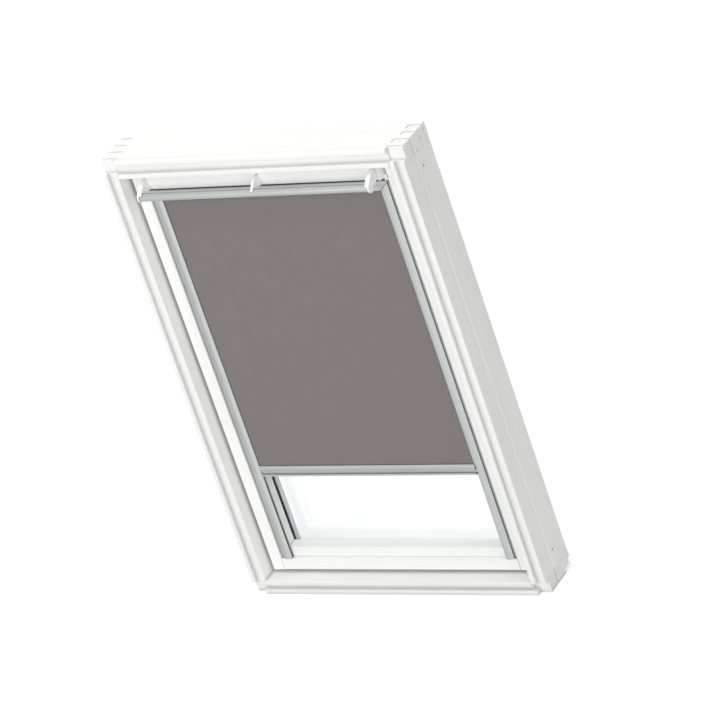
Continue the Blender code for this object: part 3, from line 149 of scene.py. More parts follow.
class Bench:
    """The few ways in which pieces are picked up, worked on and put down."""

    # Degrees: edges below the first are shaded smooth, edges above the second are rounded.
    FLAT_ANGLES = (9.0, 20.0)
    BOWED_ANGLES = (38.0, 32.0)
    MERGE_DISTANCE = 0.00001
    LEVEL_ANGLE = 0.6

    @staticmethod
    def pick(piece: bpy.types.Object) -> None:
        """Make one piece the only selected and active one.

        Args:
            piece: The piece to pick.
        """
        bpy.ops.object.select_all(action="DESELECT")
        piece.select_set(True)
        bpy.context.view_layer.objects.active = piece

    @staticmethod
    def apply(piece: bpy.types.Object) -> None:
        """Apply all modifiers of a piece, in order.

        Args:
            piece: The piece to finish.
        """
        Bench.pick(piece)
        for modifier in list(piece.modifiers):
            bpy.ops.object.modifier_apply(modifier=modifier.name)

    @staticmethod
    def smooth(piece: bpy.types.Object, angle: float) -> None:
        """Shade a piece smooth where its faces meet at less than an angle, in degrees."""
        Bench.pick(piece)
        bpy.ops.object.shade_smooth_by_angle(angle=math.radians(angle))

    @staticmethod
    def soften(piece: bpy.types.Object, width: float, segments: int = 2,
               bowed: bool = False) -> None:
        """Ease a piece's edges and shade it so that its flats stay flat between them.

        Args:
            piece: The piece to soften.
            width: The rounding's width in metres.
            segments: How many faces the rounding has.
            bowed: Whether its faces are steps of a bow, and not flats that meet at a crisp edge.
        """
        shaded, rounded = Bench.BOWED_ANGLES if bowed else Bench.FLAT_ANGLES
        Bench.smooth(piece, shaded)
        edge = piece.modifiers.new("edge rounding", "BEVEL")
        edge.width = width
        edge.segments = segments
        edge.limit_method = "ANGLE"
        edge.angle_limit = math.radians(rounded)
        edge.use_clamp_overlap = True
        edge.miter_outer = "MITER_ARC"
        flats = piece.modifiers.new("flats stay flat", "WEIGHTED_NORMAL")
        flats.mode = "FACE_AREA"
        flats.weight = 100
        flats.keep_sharp = True
        Bench.apply(piece)

    @staticmethod
    def add(operator: Callable[..., Any], name: str,
            scale: Sequence[float] = (1.0, 1.0, 1.0), **options: Any) -> bpy.types.Object:
        """Add one of Blender's simple shapes, with its place, turn and size in its mesh.

        Args:
            operator: Blender's call for that shape.
            name: The new piece's name.
            scale: Its size along its own axes, as shares of the plain shape.
            options: What the call takes.

        Returns:
            The piece, still selected.
        """
        bpy.ops.object.select_all(action="DESELECT")
        operator(**options)
        piece = bpy.context.active_object
        piece.name = name
        piece.scale = scale
        bpy.ops.object.transform_apply(location=True, rotation=True, scale=True)
        return piece

    @staticmethod
    def block(name: str, low: Place, high: Place) -> bpy.types.Object:
        """Add a block between two corners.

        Args:
            name: The block's name.
            low: Its lowest corner.
            high: Its highest corner.

        Returns:
            The block.
        """
        return Bench.add(bpy.ops.mesh.primitive_cube_add, name,
                         [b - a for a, b in zip(low, high)], size=1.0,
                         location=middle_of(low, high))

    @staticmethod
    def carve(piece: bpy.types.Object, low: Place, high: Place) -> None:
        """Cut a block out of a piece.

        Args:
            piece: The piece to cut.
            low: The block's lowest corner.
            high: Its highest corner.
        """
        cutter = Bench.block("carving block", low, high)
        cut = piece.modifiers.new("carving", "BOOLEAN")
        cut.operation = "DIFFERENCE"
        cut.object = cutter
        Bench.apply(piece)
        bpy.data.objects.remove(cutter)

    @staticmethod
    def copies(piece: bpy.types.Object, name: str, moves: Sequence[Matrix]) -> bpy.types.Object:
        """Copy a pattern piece to each of its places and join the copies.

        Args:
            piece: The pattern, at the origin; it is used up.
            name: The joined piece's name.
            moves: Where each copy goes.

        Returns:
            The joined piece.
        """
        made = []
        for move in moves:
            twin = linked(name, piece.data.copy())
            twin.data.transform(move)
            made.append(twin)
        bpy.data.objects.remove(piece)
        Bench.pick(made[0])
        for twin in made:
            twin.select_set(True)
        bpy.ops.object.join()
        return bpy.context.active_object

    @staticmethod
    def copy_of(node: str, name: str) -> bpy.types.Object:
        """Copy a frame node with its loose triangles merged into clean faces.

        Args:
            node: The frame node to copy.
            name: The new piece's name.

        Returns:
            The new piece.
        """
        piece = linked(name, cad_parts[node].data.copy())
        piece.data.materials.clear()
        Bench.pick(piece)
        bpy.ops.object.mode_set(mode="EDIT")
        bpy.ops.mesh.select_all(action="SELECT")
        bpy.ops.mesh.remove_doubles(threshold=Bench.MERGE_DISTANCE)
        bpy.ops.mesh.dissolve_limited(angle_limit=math.radians(Bench.LEVEL_ANGLE))
        bpy.ops.object.mode_set(mode="OBJECT")
        return piece


class Surface:
    """A material in the making."""

    NOISE_SPAN = (0.3, 0.7)  # nearly all of a noise pattern lies between these values
    SHELTER_SPAN = (0.95, 0.50)  # how open a spot is where the painted shade starts and is full
    SHELTER_SAMPLES = 6

    def __init__(self, name: str, colour: str, roughness: float) -> None:
        """Make the material with its colour and roughness set.

        Args:
            name: The material's name.
            colour: Its colour, as sRGB hex.
            roughness: Its roughness.
        """
        self.material = bpy.data.materials.new(name)
        self.material.use_nodes = True
        self.shader = self.material.node_tree.nodes["Principled BSDF"]
        self.colour = linear(colour)
        self.roughness = roughness
        self.set_all_over({"Base Color": self.colour, "Roughness": roughness})

    def set_all_over(self, values: dict) -> None:
        """Set sockets of the Principled BSDF, by name, to values that hold all over."""
        for socket, value in values.items():
            self.shader.inputs[socket].default_value = value

    def feed(self, socket: str, source: bpy.types.NodeSocket) -> None:
        """Link an output into one of the Principled BSDF's sockets."""
        self.material.node_tree.links.new(source, self.shader.inputs[socket])

    def pattern(self, kind: str, size: float, settings: Optional[dict] = None,
                place: Optional[bpy.types.NodeSocket] = None) -> bpy.types.Node:
        """Lay out a pattern, with its scale worked out from the real size of its features.

        Args:
            kind: The pattern node's type.
            size: The size of one feature, in metres.
            settings: The pattern's other settings.
            place: The coordinates to lay it out on, or none for the piece's own.

        Returns:
            The pattern's node.
        """
        if place is None:
            place = add_node(self.material, "ShaderNodeTexCoord").outputs["Object"]
        return add_node(self.material, kind, {"Scale": 1 / size, **(settings or {})},
                        {"Vector": place})

    def stretched(self, grain: Grain, size: Pair) -> bpy.types.NodeSocket:
        """Map object coordinates so that a pattern of size 1 is long in the grain's direction.

        Args:
            grain: The direction of the long features.
            size: The features' size across the grain and along it, in metres.

        Returns:
            The mapped coordinates.
        """
        across, along = size
        place = add_node(self.material, "ShaderNodeTexCoord")
        scale = [1 / along if part else 1 / across for part in grain.value]
        mapping = add_node(self.material, "ShaderNodeMapping", {"Scale": scale},
                           {"Vector": place.outputs["Object"]})
        return mapping.outputs["Vector"]

    def vary_colour(self, pattern: bpy.types.NodeSocket, other: str, low: float,
                    high: float) -> None:
        """Let the colour run from the surface's own to another with a pattern.

        Args:
            pattern: The pattern's value.
            other: The other colour, as sRGB hex.
            low: The pattern's value where the first colour is pure.
            high: Its value where the other is pure.
        """
        amount = add_node(self.material, "ShaderNodeMapRange",
                          {"From Min": low, "From Max": high}, {"Value": pattern})
        mix = add_node(self.material, "ShaderNodeMix",
                       {"data_type": "RGBA", 6: self.colour, 7: linear(other)},
                       {"Factor": amount.outputs["Result"]})
        self.feed("Base Color", mix.outputs[2])

    def vary_roughness(self, pattern: bpy.types.NodeSocket, spread: float) -> None:
        """Let the roughness wander with a pattern.

        Args:
            pattern: The pattern's value.
            spread: How far the roughness goes to each side.
        """
        low, high = self.NOISE_SPAN
        amount = add_node(self.material, "ShaderNodeMapRange", {
            "From Min": low, "From Max": high, "To Min": self.roughness - spread,
            "To Max": self.roughness + spread}, {"Value": pattern})
        self.feed("Roughness", amount.outputs["Result"])

    def relief(self, height: bpy.types.NodeSocket, depth: float, strength: float) -> None:
        """Give the surface a shallow relief.

        Args:
            height: The relief's height, 0 to 1.
            depth: The relief's depth in metres.
            strength: How much of it shows.
        """
        bump = add_node(self.material, "ShaderNodeBump",
                        {"Strength": strength, "Distance": depth}, {"Height": height})
        self.feed("Normal", bump.outputs["Normal"])

    def paint_dust_and_shade(self, dark: str, reach: float) -> None:
        """Paint shade into joints, grooves and inner corners, with some dust in the joints.

        Args:
            dark: The colour of the painted shade where they are deepest, as sRGB hex.
            reach: How far from the corner the painted shade ends, in metres.
        """
        start, full = self.SHELTER_SPAN
        # Ambient occlusion darkens the colour in hollows: painted shade.
        near = add_node(self.material, "ShaderNodeAmbientOcclusion",
                        {"samples": self.SHELTER_SAMPLES, "Distance": reach})
        amount = add_node(self.material, "ShaderNodeMapRange",
                          {"From Min": start, "From Max": full}, {"Value": near.outputs["AO"]})
        plain = self.shader.inputs["Base Color"].links[0].from_socket
        mix = add_node(self.material, "ShaderNodeMix", {"data_type": "RGBA", 7: linear(dark)},
                       {"Factor": amount.outputs["Result"], 6: plain})
        self.feed("Base Color", mix.outputs[2])


@dataclass(frozen=True)
class Finish:
    """A finish: what the surface is made of, and how that was done."""

    name: str
    slot: str
    colour: str
    roughness: float

    def build(self) -> bpy.types.Material:
        """Make the material: an even surface first, then what this finish gives it.

        Returns:
            The material.
        """
        surface = Surface(self.name, self.colour, self.roughness)
        self.work(surface)
        return surface.material

    def work(self, surface: Surface) -> None:
        """Give an even surface what is this finish's own; here, nothing."""


@dataclass(frozen=True)
class LacqueredPine(Finish):
    """Pine, planed, primed and sprayed white: the fibres just telegraph through the lacquer."""

    grain: Grain
    shade: str = "F1F1EF"
    # Painted shade in the grooves, and joints darkened partly by dust, partly by painted shade.
    hollow_painted_shade_reach: float = 0.0
    hollow_painted_shade: str = "D0D0CE"
    joint_dust_and_shade_reach: float = 0.0010
    joint_dust_and_shade: str = "969592"
    fibre_size: Pair = (0.0035, 0.16)
    cloud_size: Pair = (0.05, 0.3)

    def work(self, surface: Surface) -> None:
        """Lay on long soft fibres, fine dark joints, and painted shade in the joints and grooves.

        Args:
            surface: The surface to work on.
        """
        fibre = surface.pattern("ShaderNodeTexNoise", 1.0, {"Detail": 4.0, "Roughness": 0.62},
                                surface.stretched(self.grain, self.fibre_size))
        cloud = surface.pattern("ShaderNodeTexNoise", 1.0, {"Detail": 2.0},
                                surface.stretched(self.grain, self.cloud_size))
        both = add_node(surface.material, "ShaderNodeMath", {"operation": "MULTIPLY"},
                        {0: fibre.outputs["Fac"], 1: cloud.outputs["Fac"]})
        surface.vary_colour(both.outputs[0], self.shade, low=0.16, high=0.44)
        # Painted shade: joints and inner corners darken, and grooves too where a hollow reach is
        # given.
        surface.paint_dust_and_shade(self.joint_dust_and_shade, self.joint_dust_and_shade_reach)
        if self.hollow_painted_shade_reach:
            surface.paint_dust_and_shade(self.hollow_painted_shade, self.hollow_painted_shade_reach)
        surface.vary_roughness(fibre.outputs["Fac"], spread=0.04)
        surface.relief(fibre.outputs["Fac"], depth=0.00002, strength=0.35)


@dataclass(frozen=True)
class AnodisedAluminium(Finish):
    """Extruded aluminium, etched and clear anodised: satin, with faint die lines along it."""

    grain: Grain
    shade: str
    # Painted shade in the inner corners.
    corner_painted_shade: str = "808382"
    corner_painted_shade_reach: float = 0.0030
    line_size: Pair = (0.0006, 0.4)
    cloud_size: Pair = (0.03, 0.2)

    def work(self, surface: Surface) -> None:
        """Lay on fine die lines, a slow cloud of tone and painted shade in the inner corners.

        Args:
            surface: The surface to work on.
        """
        lines = surface.pattern("ShaderNodeTexNoise", 1.0, {"Detail": 3.0},
                                surface.stretched(self.grain, self.line_size))
        cloud = surface.pattern("ShaderNodeTexNoise", 1.0, {"Detail": 1.0},
                                surface.stretched(self.grain, self.cloud_size))
        surface.vary_colour(cloud.outputs["Fac"], self.shade, low=0.35, high=0.65)
        surface.vary_roughness(lines.outputs["Fac"], spread=0.04)
        # Painted shade in the inner corners.
        surface.paint_dust_and_shade(self.corner_painted_shade, self.corner_painted_shade_reach)
        surface.relief(lines.outputs["Fac"], depth=0.00001, strength=0.6)
        surface.set_all_over({"Metallic": 1.0})


@dataclass(frozen=True)
class MouldedPlastic(Finish):
    """Injection-moulded ABS: even colour, a fine spark-eroded skin and a soft gloss."""

    shade: str = "F3F3F0"
    stipple_size: float = 1 / 1800  # 0.56 mm
    cloud_size: float = 1 / 18  # 56 mm

    def work(self, surface: Surface) -> None:
        """Lay on a fine even stipple.

        Args:
            surface: The surface to work on.
        """
        stipple = surface.pattern("ShaderNodeTexNoise", self.stipple_size, {"Detail": 1.0})
        cloud = surface.pattern("ShaderNodeTexNoise", self.cloud_size, {"Detail": 2.0})
        surface.vary_colour(cloud.outputs["Fac"], self.shade, low=0.35, high=0.7)
        surface.vary_roughness(cloud.outputs["Fac"], spread=0.03)
        surface.relief(stipple.outputs["Fac"], depth=0.00001, strength=0.35)


@dataclass(frozen=True)
class LacqueredSheet(Finish):
    """Roll-formed aluminium sheet with a baked matt lacquer, finely pebbled."""

    shade: str = "4A4D50"
    pebble_size: float = 1 / 1400  # 0.71 mm
    dust_size: float = 1 / 9  # 111 mm

    def work(self, surface: Surface) -> None:
        """Lay on pebble and a light dusting.

        Args:
            surface: The surface to work on.
        """
        pebble = surface.pattern("ShaderNodeTexVoronoi", self.pebble_size)
        dust = surface.pattern("ShaderNodeTexNoise", self.dust_size, {"Detail": 6.0})
        surface.vary_colour(dust.outputs["Fac"], self.shade, low=0.4, high=0.75)
        surface.vary_roughness(dust.outputs["Fac"], spread=0.06)
        surface.relief(pebble.outputs["Distance"], depth=0.00003, strength=0.4)
        surface.set_all_over({"Metallic": 0.35})


@dataclass(frozen=True)
class ZincPlatedSteel(Finish):
    """Pressed steel, zinc plated and passivated: bright, with cloudy spangle."""

    shade: str = "A8A79F"
    spangle_size: float = 1 / 160  # 6.3 mm
    cloud_size: float = 1 / 60  # 17 mm

    def work(self, surface: Surface) -> None:
        """Lay on soft spangle and a wandering gloss.

        Args:
            surface: The surface to work on.
        """
        spangle = surface.pattern("ShaderNodeTexVoronoi", self.spangle_size)
        cloud = surface.pattern("ShaderNodeTexNoise", self.cloud_size, {"Detail": 4.0})
        surface.vary_colour(spangle.outputs["Distance"], self.shade, low=0.1, high=0.8)
        surface.vary_roughness(cloud.outputs["Fac"], spread=0.08)
        surface.set_all_over({"Metallic": 1.0})


@dataclass(frozen=True)
class Elastomer(Finish):
    """Extruded EPDM rubber or butyl: matt black with a dusty bloom."""

    shade: str = "34373A"
    bloom_size: float = 1 / 220  # 4.5 mm

    def work(self, surface: Surface) -> None:
        """Lay on bloom in patches.

        Args:
            surface: The surface to work on.
        """
        bloom = surface.pattern("ShaderNodeTexNoise", self.bloom_size, {"Detail": 3.0})
        surface.vary_colour(bloom.outputs["Fac"], self.shade, low=0.4, high=0.7)
        surface.vary_roughness(bloom.outputs["Fac"], spread=0.05)
        surface.relief(bloom.outputs["Fac"], depth=0.00004, strength=0.5)


@dataclass(frozen=True)
class Felt(Finish):
    """Needled grey filter felt: open, matt, with loose fibres."""

    shade: str = "76787B"
    fibre_size: float = 1 / 900  # 1.1 mm

    def work(self, surface: Surface) -> None:
        """Lay on tangled fibres.

        Args:
            surface: The surface to work on.
        """
        fibre = surface.pattern("ShaderNodeTexNoise", self.fibre_size,
                                {"Detail": 5.0, "Distortion": 2.0})
        surface.vary_colour(fibre.outputs["Fac"], self.shade, low=0.35, high=0.65)
        surface.relief(fibre.outputs["Fac"], depth=0.0006, strength=1.0)
        surface.set_all_over({"Sheen Weight": 0.3})


@dataclass(frozen=True)
class FloatGlass(Finish):
    """Clear float glass: almost colourless, with the very faint wave of the tin bath."""

    shadow: str = "F4F8F7"
    wave_size: float = 1 / 3  # 333 mm

    def work(self, surface: Surface) -> None:
        """Make the surface clear to sight and to light, with a polished face.

        Args:
            surface: The surface to work on.
        """
        surface.set_all_over({"Transmission Weight": 1.0, "IOR": 1.5})
        wave = surface.pattern("ShaderNodeTexNoise", self.wave_size, {"Detail": 1.0})
        surface.relief(wave.outputs["Fac"], depth=0.00002, strength=0.1)
        material, shader = surface.material, surface.shader
        path = add_node(material, "ShaderNodeLightPath")
        clear = add_node(material, "ShaderNodeBsdfTransparent", {"Color": linear(self.shadow)})
        mix = add_node(material, "ShaderNodeMixShader", {}, {
            0: path.outputs["Is Shadow Ray"], 1: shader.outputs["BSDF"], 2: clear.outputs["BSDF"]})
        output = material.node_tree.nodes["Material Output"]
        material.node_tree.links.new(mix.outputs["Shader"], output.inputs["Surface"])


@dataclass(frozen=True)
class BlackoutCloth(Finish):
    """Coated blackout cloth: a fine plain weave in taupe, with slubs and a slight mottle."""

    shade: str
    width: float
    length: float
    thread: float = 0.0011  # real threads are finer: drawn this coarse to show in the picture
    slub_size: float = 1 / 130  # 7.7 mm
    mottle_size: float = 1 / 28  # 36 mm
    band: float = 0.314  # what one band of a wave pattern measures at scale 1
    weave_share: float = 0.12

    def work(self, surface: Surface) -> None:
        """Weave crossed threads, laid out on the cloth's own map.

        Args:
            surface: The surface to work on.
        """
        material = surface.material
        place = add_node(material, "ShaderNodeUVMap")
        size = add_node(material, "ShaderNodeMapping", {"Scale": (self.width, self.length, 1.0)},
                        {"Vector": place.outputs["UV"]}).outputs["Vector"]
        threads = []
        for turn, rank in ((0.0, "warp"), (math.pi / 2, "weft")):
            turned = add_node(material, "ShaderNodeMapping",
                              {"Rotation": (0.0, 0.0, turn), "label": rank}, {"Vector": size})
            wave = surface.pattern("ShaderNodeTexWave", self.thread / self.band,
                                   {"Distortion": 0.6, "Detail": 2.0, "Detail Scale": 0.5},
                                   turned.outputs["Vector"])
            threads.append(wave.outputs["Fac"])
        weave = add_node(material, "ShaderNodeMath", {"operation": "ADD"},
                         {0: threads[0], 1: threads[1]})
        slubs = surface.pattern("ShaderNodeTexNoise", self.slub_size,
                                {"Detail": 5.0, "Roughness": 0.7}, size)
        mottle = surface.pattern("ShaderNodeTexNoise", self.mottle_size, {"Detail": 3.0}, size)
        faint = add_node(material, "ShaderNodeMath",
                         {"operation": "MULTIPLY", 1: self.weave_share}, {0: weave.outputs[0]})
        tone = add_node(material, "ShaderNodeMath", {"operation": "ADD"},
                        {0: slubs.outputs["Fac"], 1: faint.outputs[0]})
        whole = add_node(material, "ShaderNodeMath", {"operation": "MULTIPLY"},
                         {0: tone.outputs[0], 1: mottle.outputs["Fac"]})
        surface.vary_colour(whole.outputs[0], self.shade, low=0.20, high=0.48)
        surface.relief(weave.outputs[0], depth=0.00012, strength=0.6)
        surface.set_all_over({"Sheen Weight": 0.15, "Sheen Roughness": 0.5})


class Palette:
    """The finishes of the window, each made once."""

    # Reach of the painted shade in the frame's grooves, in metres.
    GROOVE_PAINTED_SHADE_REACH = 0.009
    HANGING_CLOTH = (0.4876, 0.614)
    WOUND_CLOTH = (0.4876, 0.2185)

    def __init__(self) -> None:
        """Make every material."""
        upright, level = Grain.ALONG_Z, Grain.ALONG_X
        timber, sash, alu = "painted_timber", "painted_sash", "anodised_aluminium"
        cloth = ("taupe_cloth", "7C7774", 0.86, "7A7472")
        reach = self.GROOVE_PAINTED_SHADE_REACH
        self.finishes: Dict[str, Finish] = {
            # The frame members get painted shade in their grooves.
            "frame_upright": LacqueredPine("lacquered pine, upright", timber, "F7F7F6", 0.42,
                                           upright, hollow_painted_shade_reach=reach),
            "frame_level": LacqueredPine("lacquered pine, level", timber, "F7F7F6", 0.42,
                                         level, hollow_painted_shade_reach=reach),
            "sash_upright": LacqueredPine("lacquered sash pine, upright", sash, "F7F7F5", 0.36,
                                          upright, "F2F2EF"),
            "sash_level": LacqueredPine("lacquered sash pine, level", sash, "F7F7F5", 0.36,
                                        level, "F2F2EF"),
            "plastic": MouldedPlastic("moulded white ABS", "white_plastic", "F6F6F4", 0.34),
            "alu_upright": AnodisedAluminium("anodised aluminium, upright", alu, "BABDBC",
                                             0.50, upright, "B6B9B8"),
            # The level aluminium is a darker copy of the upright one: painted shade for the darker
            # reflections of bar and casing.
            "alu_level": AnodisedAluminium("anodised aluminium, level", alu, "B3B7B6",
                                           0.42, level, "AFB3B2"),
            "sheet": LacqueredSheet("lacquered aluminium sheet", "lacquered_aluminium",
                                    "3C3F42", 0.52),
            "zinc": ZincPlatedSteel("zinc-plated steel", "zinc_steel", "C3C2BC", 0.34),
            "filler": LacqueredPine("lacquered filler", timber, "E4E3E1", 0.55, upright,
                                    "DEDDDA"),
            "staple": ZincPlatedSteel("bright wire", "zinc_steel", "A6A6A4", 0.50, "9A9A98"),
            "rubber": Elastomer("EPDM rubber", "black_rubber", "202224", 0.72),
            "wound": BlackoutCloth("wound blackout cloth", *cloth, *self.WOUND_CLOTH),
            "spacer": ZincPlatedSteel("mill-finish spacer", "spacer_metal", "D2D4D6", 0.42,
                                      "C6C8CA"),
            "felt": Felt("needled filter felt", "grey_foam", "606266", 0.95),
            "glass": FloatGlass("clear float glass", "clear_glass", "FDFEFE", 0.0),
            "cloth": BlackoutCloth("woven blackout cloth", *cloth, *self.HANGING_CLOTH),
        }
        self.materials = {key: finish.build() for key, finish in self.finishes.items()}

    def dress(self, piece: bpy.types.Object, body: Optional[str], key: str,
              replaces: Sequence[str] = ()) -> None:
        """Give a new piece its finish and its place among the bodies.

        Args:
            piece: The piece to dress.
            body: The body that it rides on, or none for a piece that is put on no body.
            key: The finish's key.
            replaces: The frame nodes that it stands for.
        """
        piece.data.materials.clear()
        piece.data.materials.append(self.materials[key])
        if body:
            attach(piece, body)
        if replaces:
            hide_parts(*replaces)
        LOG.info("%s: %d faces on %s", piece.name, len(piece.data.polygons), body or "two bodies")

    def coat(self, key: str, *nodes: str) -> None:
        """Give frame nodes a finish as they are.

        Args:
            key: The finish's key.
            nodes: The nodes to coat.
        """
        for node in nodes:
            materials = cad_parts[node].data.materials
            materials.clear()
            materials.append(self.materials[key])
            LOG.info("%s: %s", node, self.finishes[key].name)


@dataclass
class Member:
    """One piece of the frame model that is kept in shape and gets finished edges."""

    node: str
    finish: str
    rounding: float = CRISP_EDGE
    segments: int = 2
    bowed: bool = False


@dataclass
class SubAssembly:
    """A group of pieces on one body."""

    palette: Palette
    body: str
    members: List[Member] = field(default_factory=list)

    def finish_members(self) -> None:
        """Copy each member, round its edges and dress it in place of its node."""
        for member in self.members:
            piece = Bench.copy_of(member.node, f"{member.node}_finished")
            self.shape(piece, member)
            Bench.soften(piece, member.rounding, member.segments, member.bowed)
            self.palette.dress(piece, self.body, member.finish, [member.node])

    def shape(self, piece: bpy.types.Object, member: Member) -> None:
        """Work on a member before its edges are rounded; most need nothing."""


@dataclass
class TimberFrame(SubAssembly):
    """The four grooved and box-jointed members of the fixed frame."""

    nail_radius: float = 0.0012
    nail_length: float = 0.0030
    nail_places: Tuple[Pair, ...] = ((0.3020, -0.0100), (0.2835, -0.0136),
                                     (0.2648, -0.0207), (0.2881, -0.0121))
    staple_size: Place = (0.0012, 0.0018, 0.0055)
    staple_tilt: float = -35.0
    staple_places: Tuple[Pair, ...] = ((0.0601, 0.9671), (0.0392, 0.9598), (0.0177, 0.9454))
    plug_proud: float = 0.00012

    def __post_init__(self) -> None:
        """List the timber members."""
        self.members = [
            Member("frame_side_left", "frame_upright"),
            Member("frame_side_right", "frame_upright"),
            Member("frame_head", "frame_level"),
            Member("frame_sill", "frame_level"),
        ]

    def build_nails(self) -> None:
        """Set the filled nails into the head's top at both corners."""
        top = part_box("frame_head")[1][2]
        nail = Bench.add(bpy.ops.mesh.primitive_cylinder_add, "nail", vertices=20,
                         radius=self.nail_radius, depth=self.nail_length)
        Bench.soften(nail, CRISP_EDGE)
        lift = top + self.plug_proud - self.nail_length / 2
        places = [Matrix.Translation((side * x, y, lift))
                  for _, side in SIDES for x, y in self.nail_places]
        nails = Bench.copies(nail, "frame_nails_filled", places)
        self.palette.dress(nails, self.body, "filler")

    def build_staples(self) -> None:
        """Drive the slanted staples that clamp the corner joints into both outer sides."""
        half = [part / 2 for part in self.staple_size]
        staple = Bench.block("staple", tuple(-part for part in half), tuple(half))
        Bench.soften(staple, CRISP_EDGE)
        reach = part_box("frame_head")[1][0] - half[0] + self.plug_proud
        tilt = Matrix.Rotation(math.radians(self.staple_tilt), 4, "X")
        places = [Matrix.Translation((side * reach, y, z)) @ tilt
                  for _, side in SIDES for y, z in self.staple_places]
        staples = Bench.copies(staple, "corner_staples_driven", places)
        self.palette.dress(staples, self.body, "staple")

    def build(self) -> None:
        """Finish the members, then nail and staple their corners."""
        self.finish_members()
        self.build_nails()
        self.build_staples()


@dataclass
class TimberSash(SubAssembly):
    """The stiles and rails of the turning sash."""

    recess_low: Place = (0.2600, -0.0080, 0.9115)
    recess_high: Place = (0.2660, 0.0100, 0.9345)
    bed_edge_high: float = 0.0760
    bed_drop: float = 0.0016
    bed_edge: float = 0.0002

    def __post_init__(self) -> None:
        """List the sash's members."""
        self.members = [
            Member("sash_stile_left", "sash_upright"),
            Member("sash_stile_right", "sash_upright"),
            Member("sash_top_rail", "sash_level"),
            Member("sash_bottom_rail", "sash_level"),
            Member("glazing_bed", "rubber", self.bed_edge, 1),
        ]

    def shape(self, piece: bpy.types.Object, member: Member) -> None:
        """Cut a recess beside each end of the flap, and let the bed's foot sink below the rail.

        Args:
            piece: The member's piece.
            member: The member.
        """
        if member.node == "sash_top_rail":
            for _, side in SIDES:
                Bench.carve(piece, *on_side(side, self.recess_low, self.recess_high))
        if member.node == "glazing_bed":
            for vertex in piece.data.vertices:
                if vertex.co.z < self.bed_edge_high:
                    vertex.co.z -= self.bed_drop

    def build(self) -> None:
        """Finish the members and coat the glazed unit, seals, bushes and filters."""
        self.finish_members()
        self.palette.coat("glass", "pane_inner", "pane_outer")
        self.palette.coat("spacer", "pane_spacer")
        self.palette.coat("rubber", "edge_seal", "sash_seal", "pivot_bush_left",
                          "pivot_bush_right")
        self.palette.coat("felt", "vent_filter_left", "vent_filter_right")


@dataclass
class OuterCovers(SubAssembly):
    """The sheet covers on the weather side, on the frame or on the sash."""

    cover_edge: float = 0.0005
    sight_edge: float = 0.2500
    sight_foot: float = 0.0550
    set_back: float = 0.0035
    foot_set_back: float = 0.0068

    def __post_init__(self) -> None:
        """List the covers of this body."""
        ends = ("head", "sill") if self.body == "frame" else ("top", "bottom")
        self.members = [Member(f"{self.body}_cover_{word}", "sheet", self.cover_edge)
                        for word in ("left", "right", *ends)]

    def shape(self, piece: bpy.types.Object, member: Member) -> None:
        """Set the sash covers' inner edges back, so that they stay out of sight from indoors.

        Args:
            piece: The member's piece.
            member: The member.
        """
        if self.body != "sash":
            return
        for vertex in piece.data.vertices:
            if abs(vertex.co.x) < self.sight_edge:
                vertex.co.x += math.copysign(self.set_back, vertex.co.x)
            if member.node == "sash_cover_bottom" and vertex.co.z > self.sight_foot:
                vertex.co.z -= self.foot_set_back

    def build(self) -> None:
        """Finish the covers."""
        self.finish_members()


@dataclass
class ControlSet(SubAssembly):
    """The ventilation flap with its arms and the control bar."""

    bar_facets: int = 96
    bar_rim: float = 0.0018
    bar_step: float = 0.0006
    end_facing: float = 0.9

    def __post_init__(self) -> None:
        """List the moulded pieces."""
        self.members = [
            Member("ventilation_flap", "plastic", 0.0006, 2, True),
            Member("flap_arm_left", "plastic", 0.0007, 3, True),
            Member("flap_arm_centre", "plastic", 0.0009, 3, True),
            Member("flap_arm_right", "plastic", 0.0007, 3, True),
        ]

    def build_bar(self) -> None:
        """Turn the control bar from a cylinder: rounded end edges and a centred end face."""
        low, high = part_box("control_bar")
        bar = Bench.add(bpy.ops.mesh.primitive_cylinder_add, "control_bar_turned",
                        vertices=self.bar_facets, radius=(high[2] - low[2]) / 2,
                        depth=high[0] - low[0], end_fill_type="NGON",
                        rotation=(0.0, math.pi / 2, 0.0), location=middle_of(low, high))
        bpy.ops.object.mode_set(mode="EDIT")
        bpy.ops.mesh.select_all(action="DESELECT")
        bpy.ops.object.mode_set(mode="OBJECT")
        for face in bar.data.polygons:
            face.select = abs(face.normal.x) > self.end_facing
        bpy.ops.object.mode_set(mode="EDIT")
        bpy.ops.mesh.inset(thickness=self.bar_rim)
        bpy.ops.mesh.inset(thickness=self.bar_step)
        bpy.ops.object.mode_set(mode="OBJECT")
        Bench.soften(bar, self.bar_step, 3, True)
        self.palette.dress(bar, self.body, "alu_level", ["control_bar"])

    def build(self) -> None:
        """Finish the moulded pieces and turn the bar."""
        self.finish_members()
        self.build_bar()


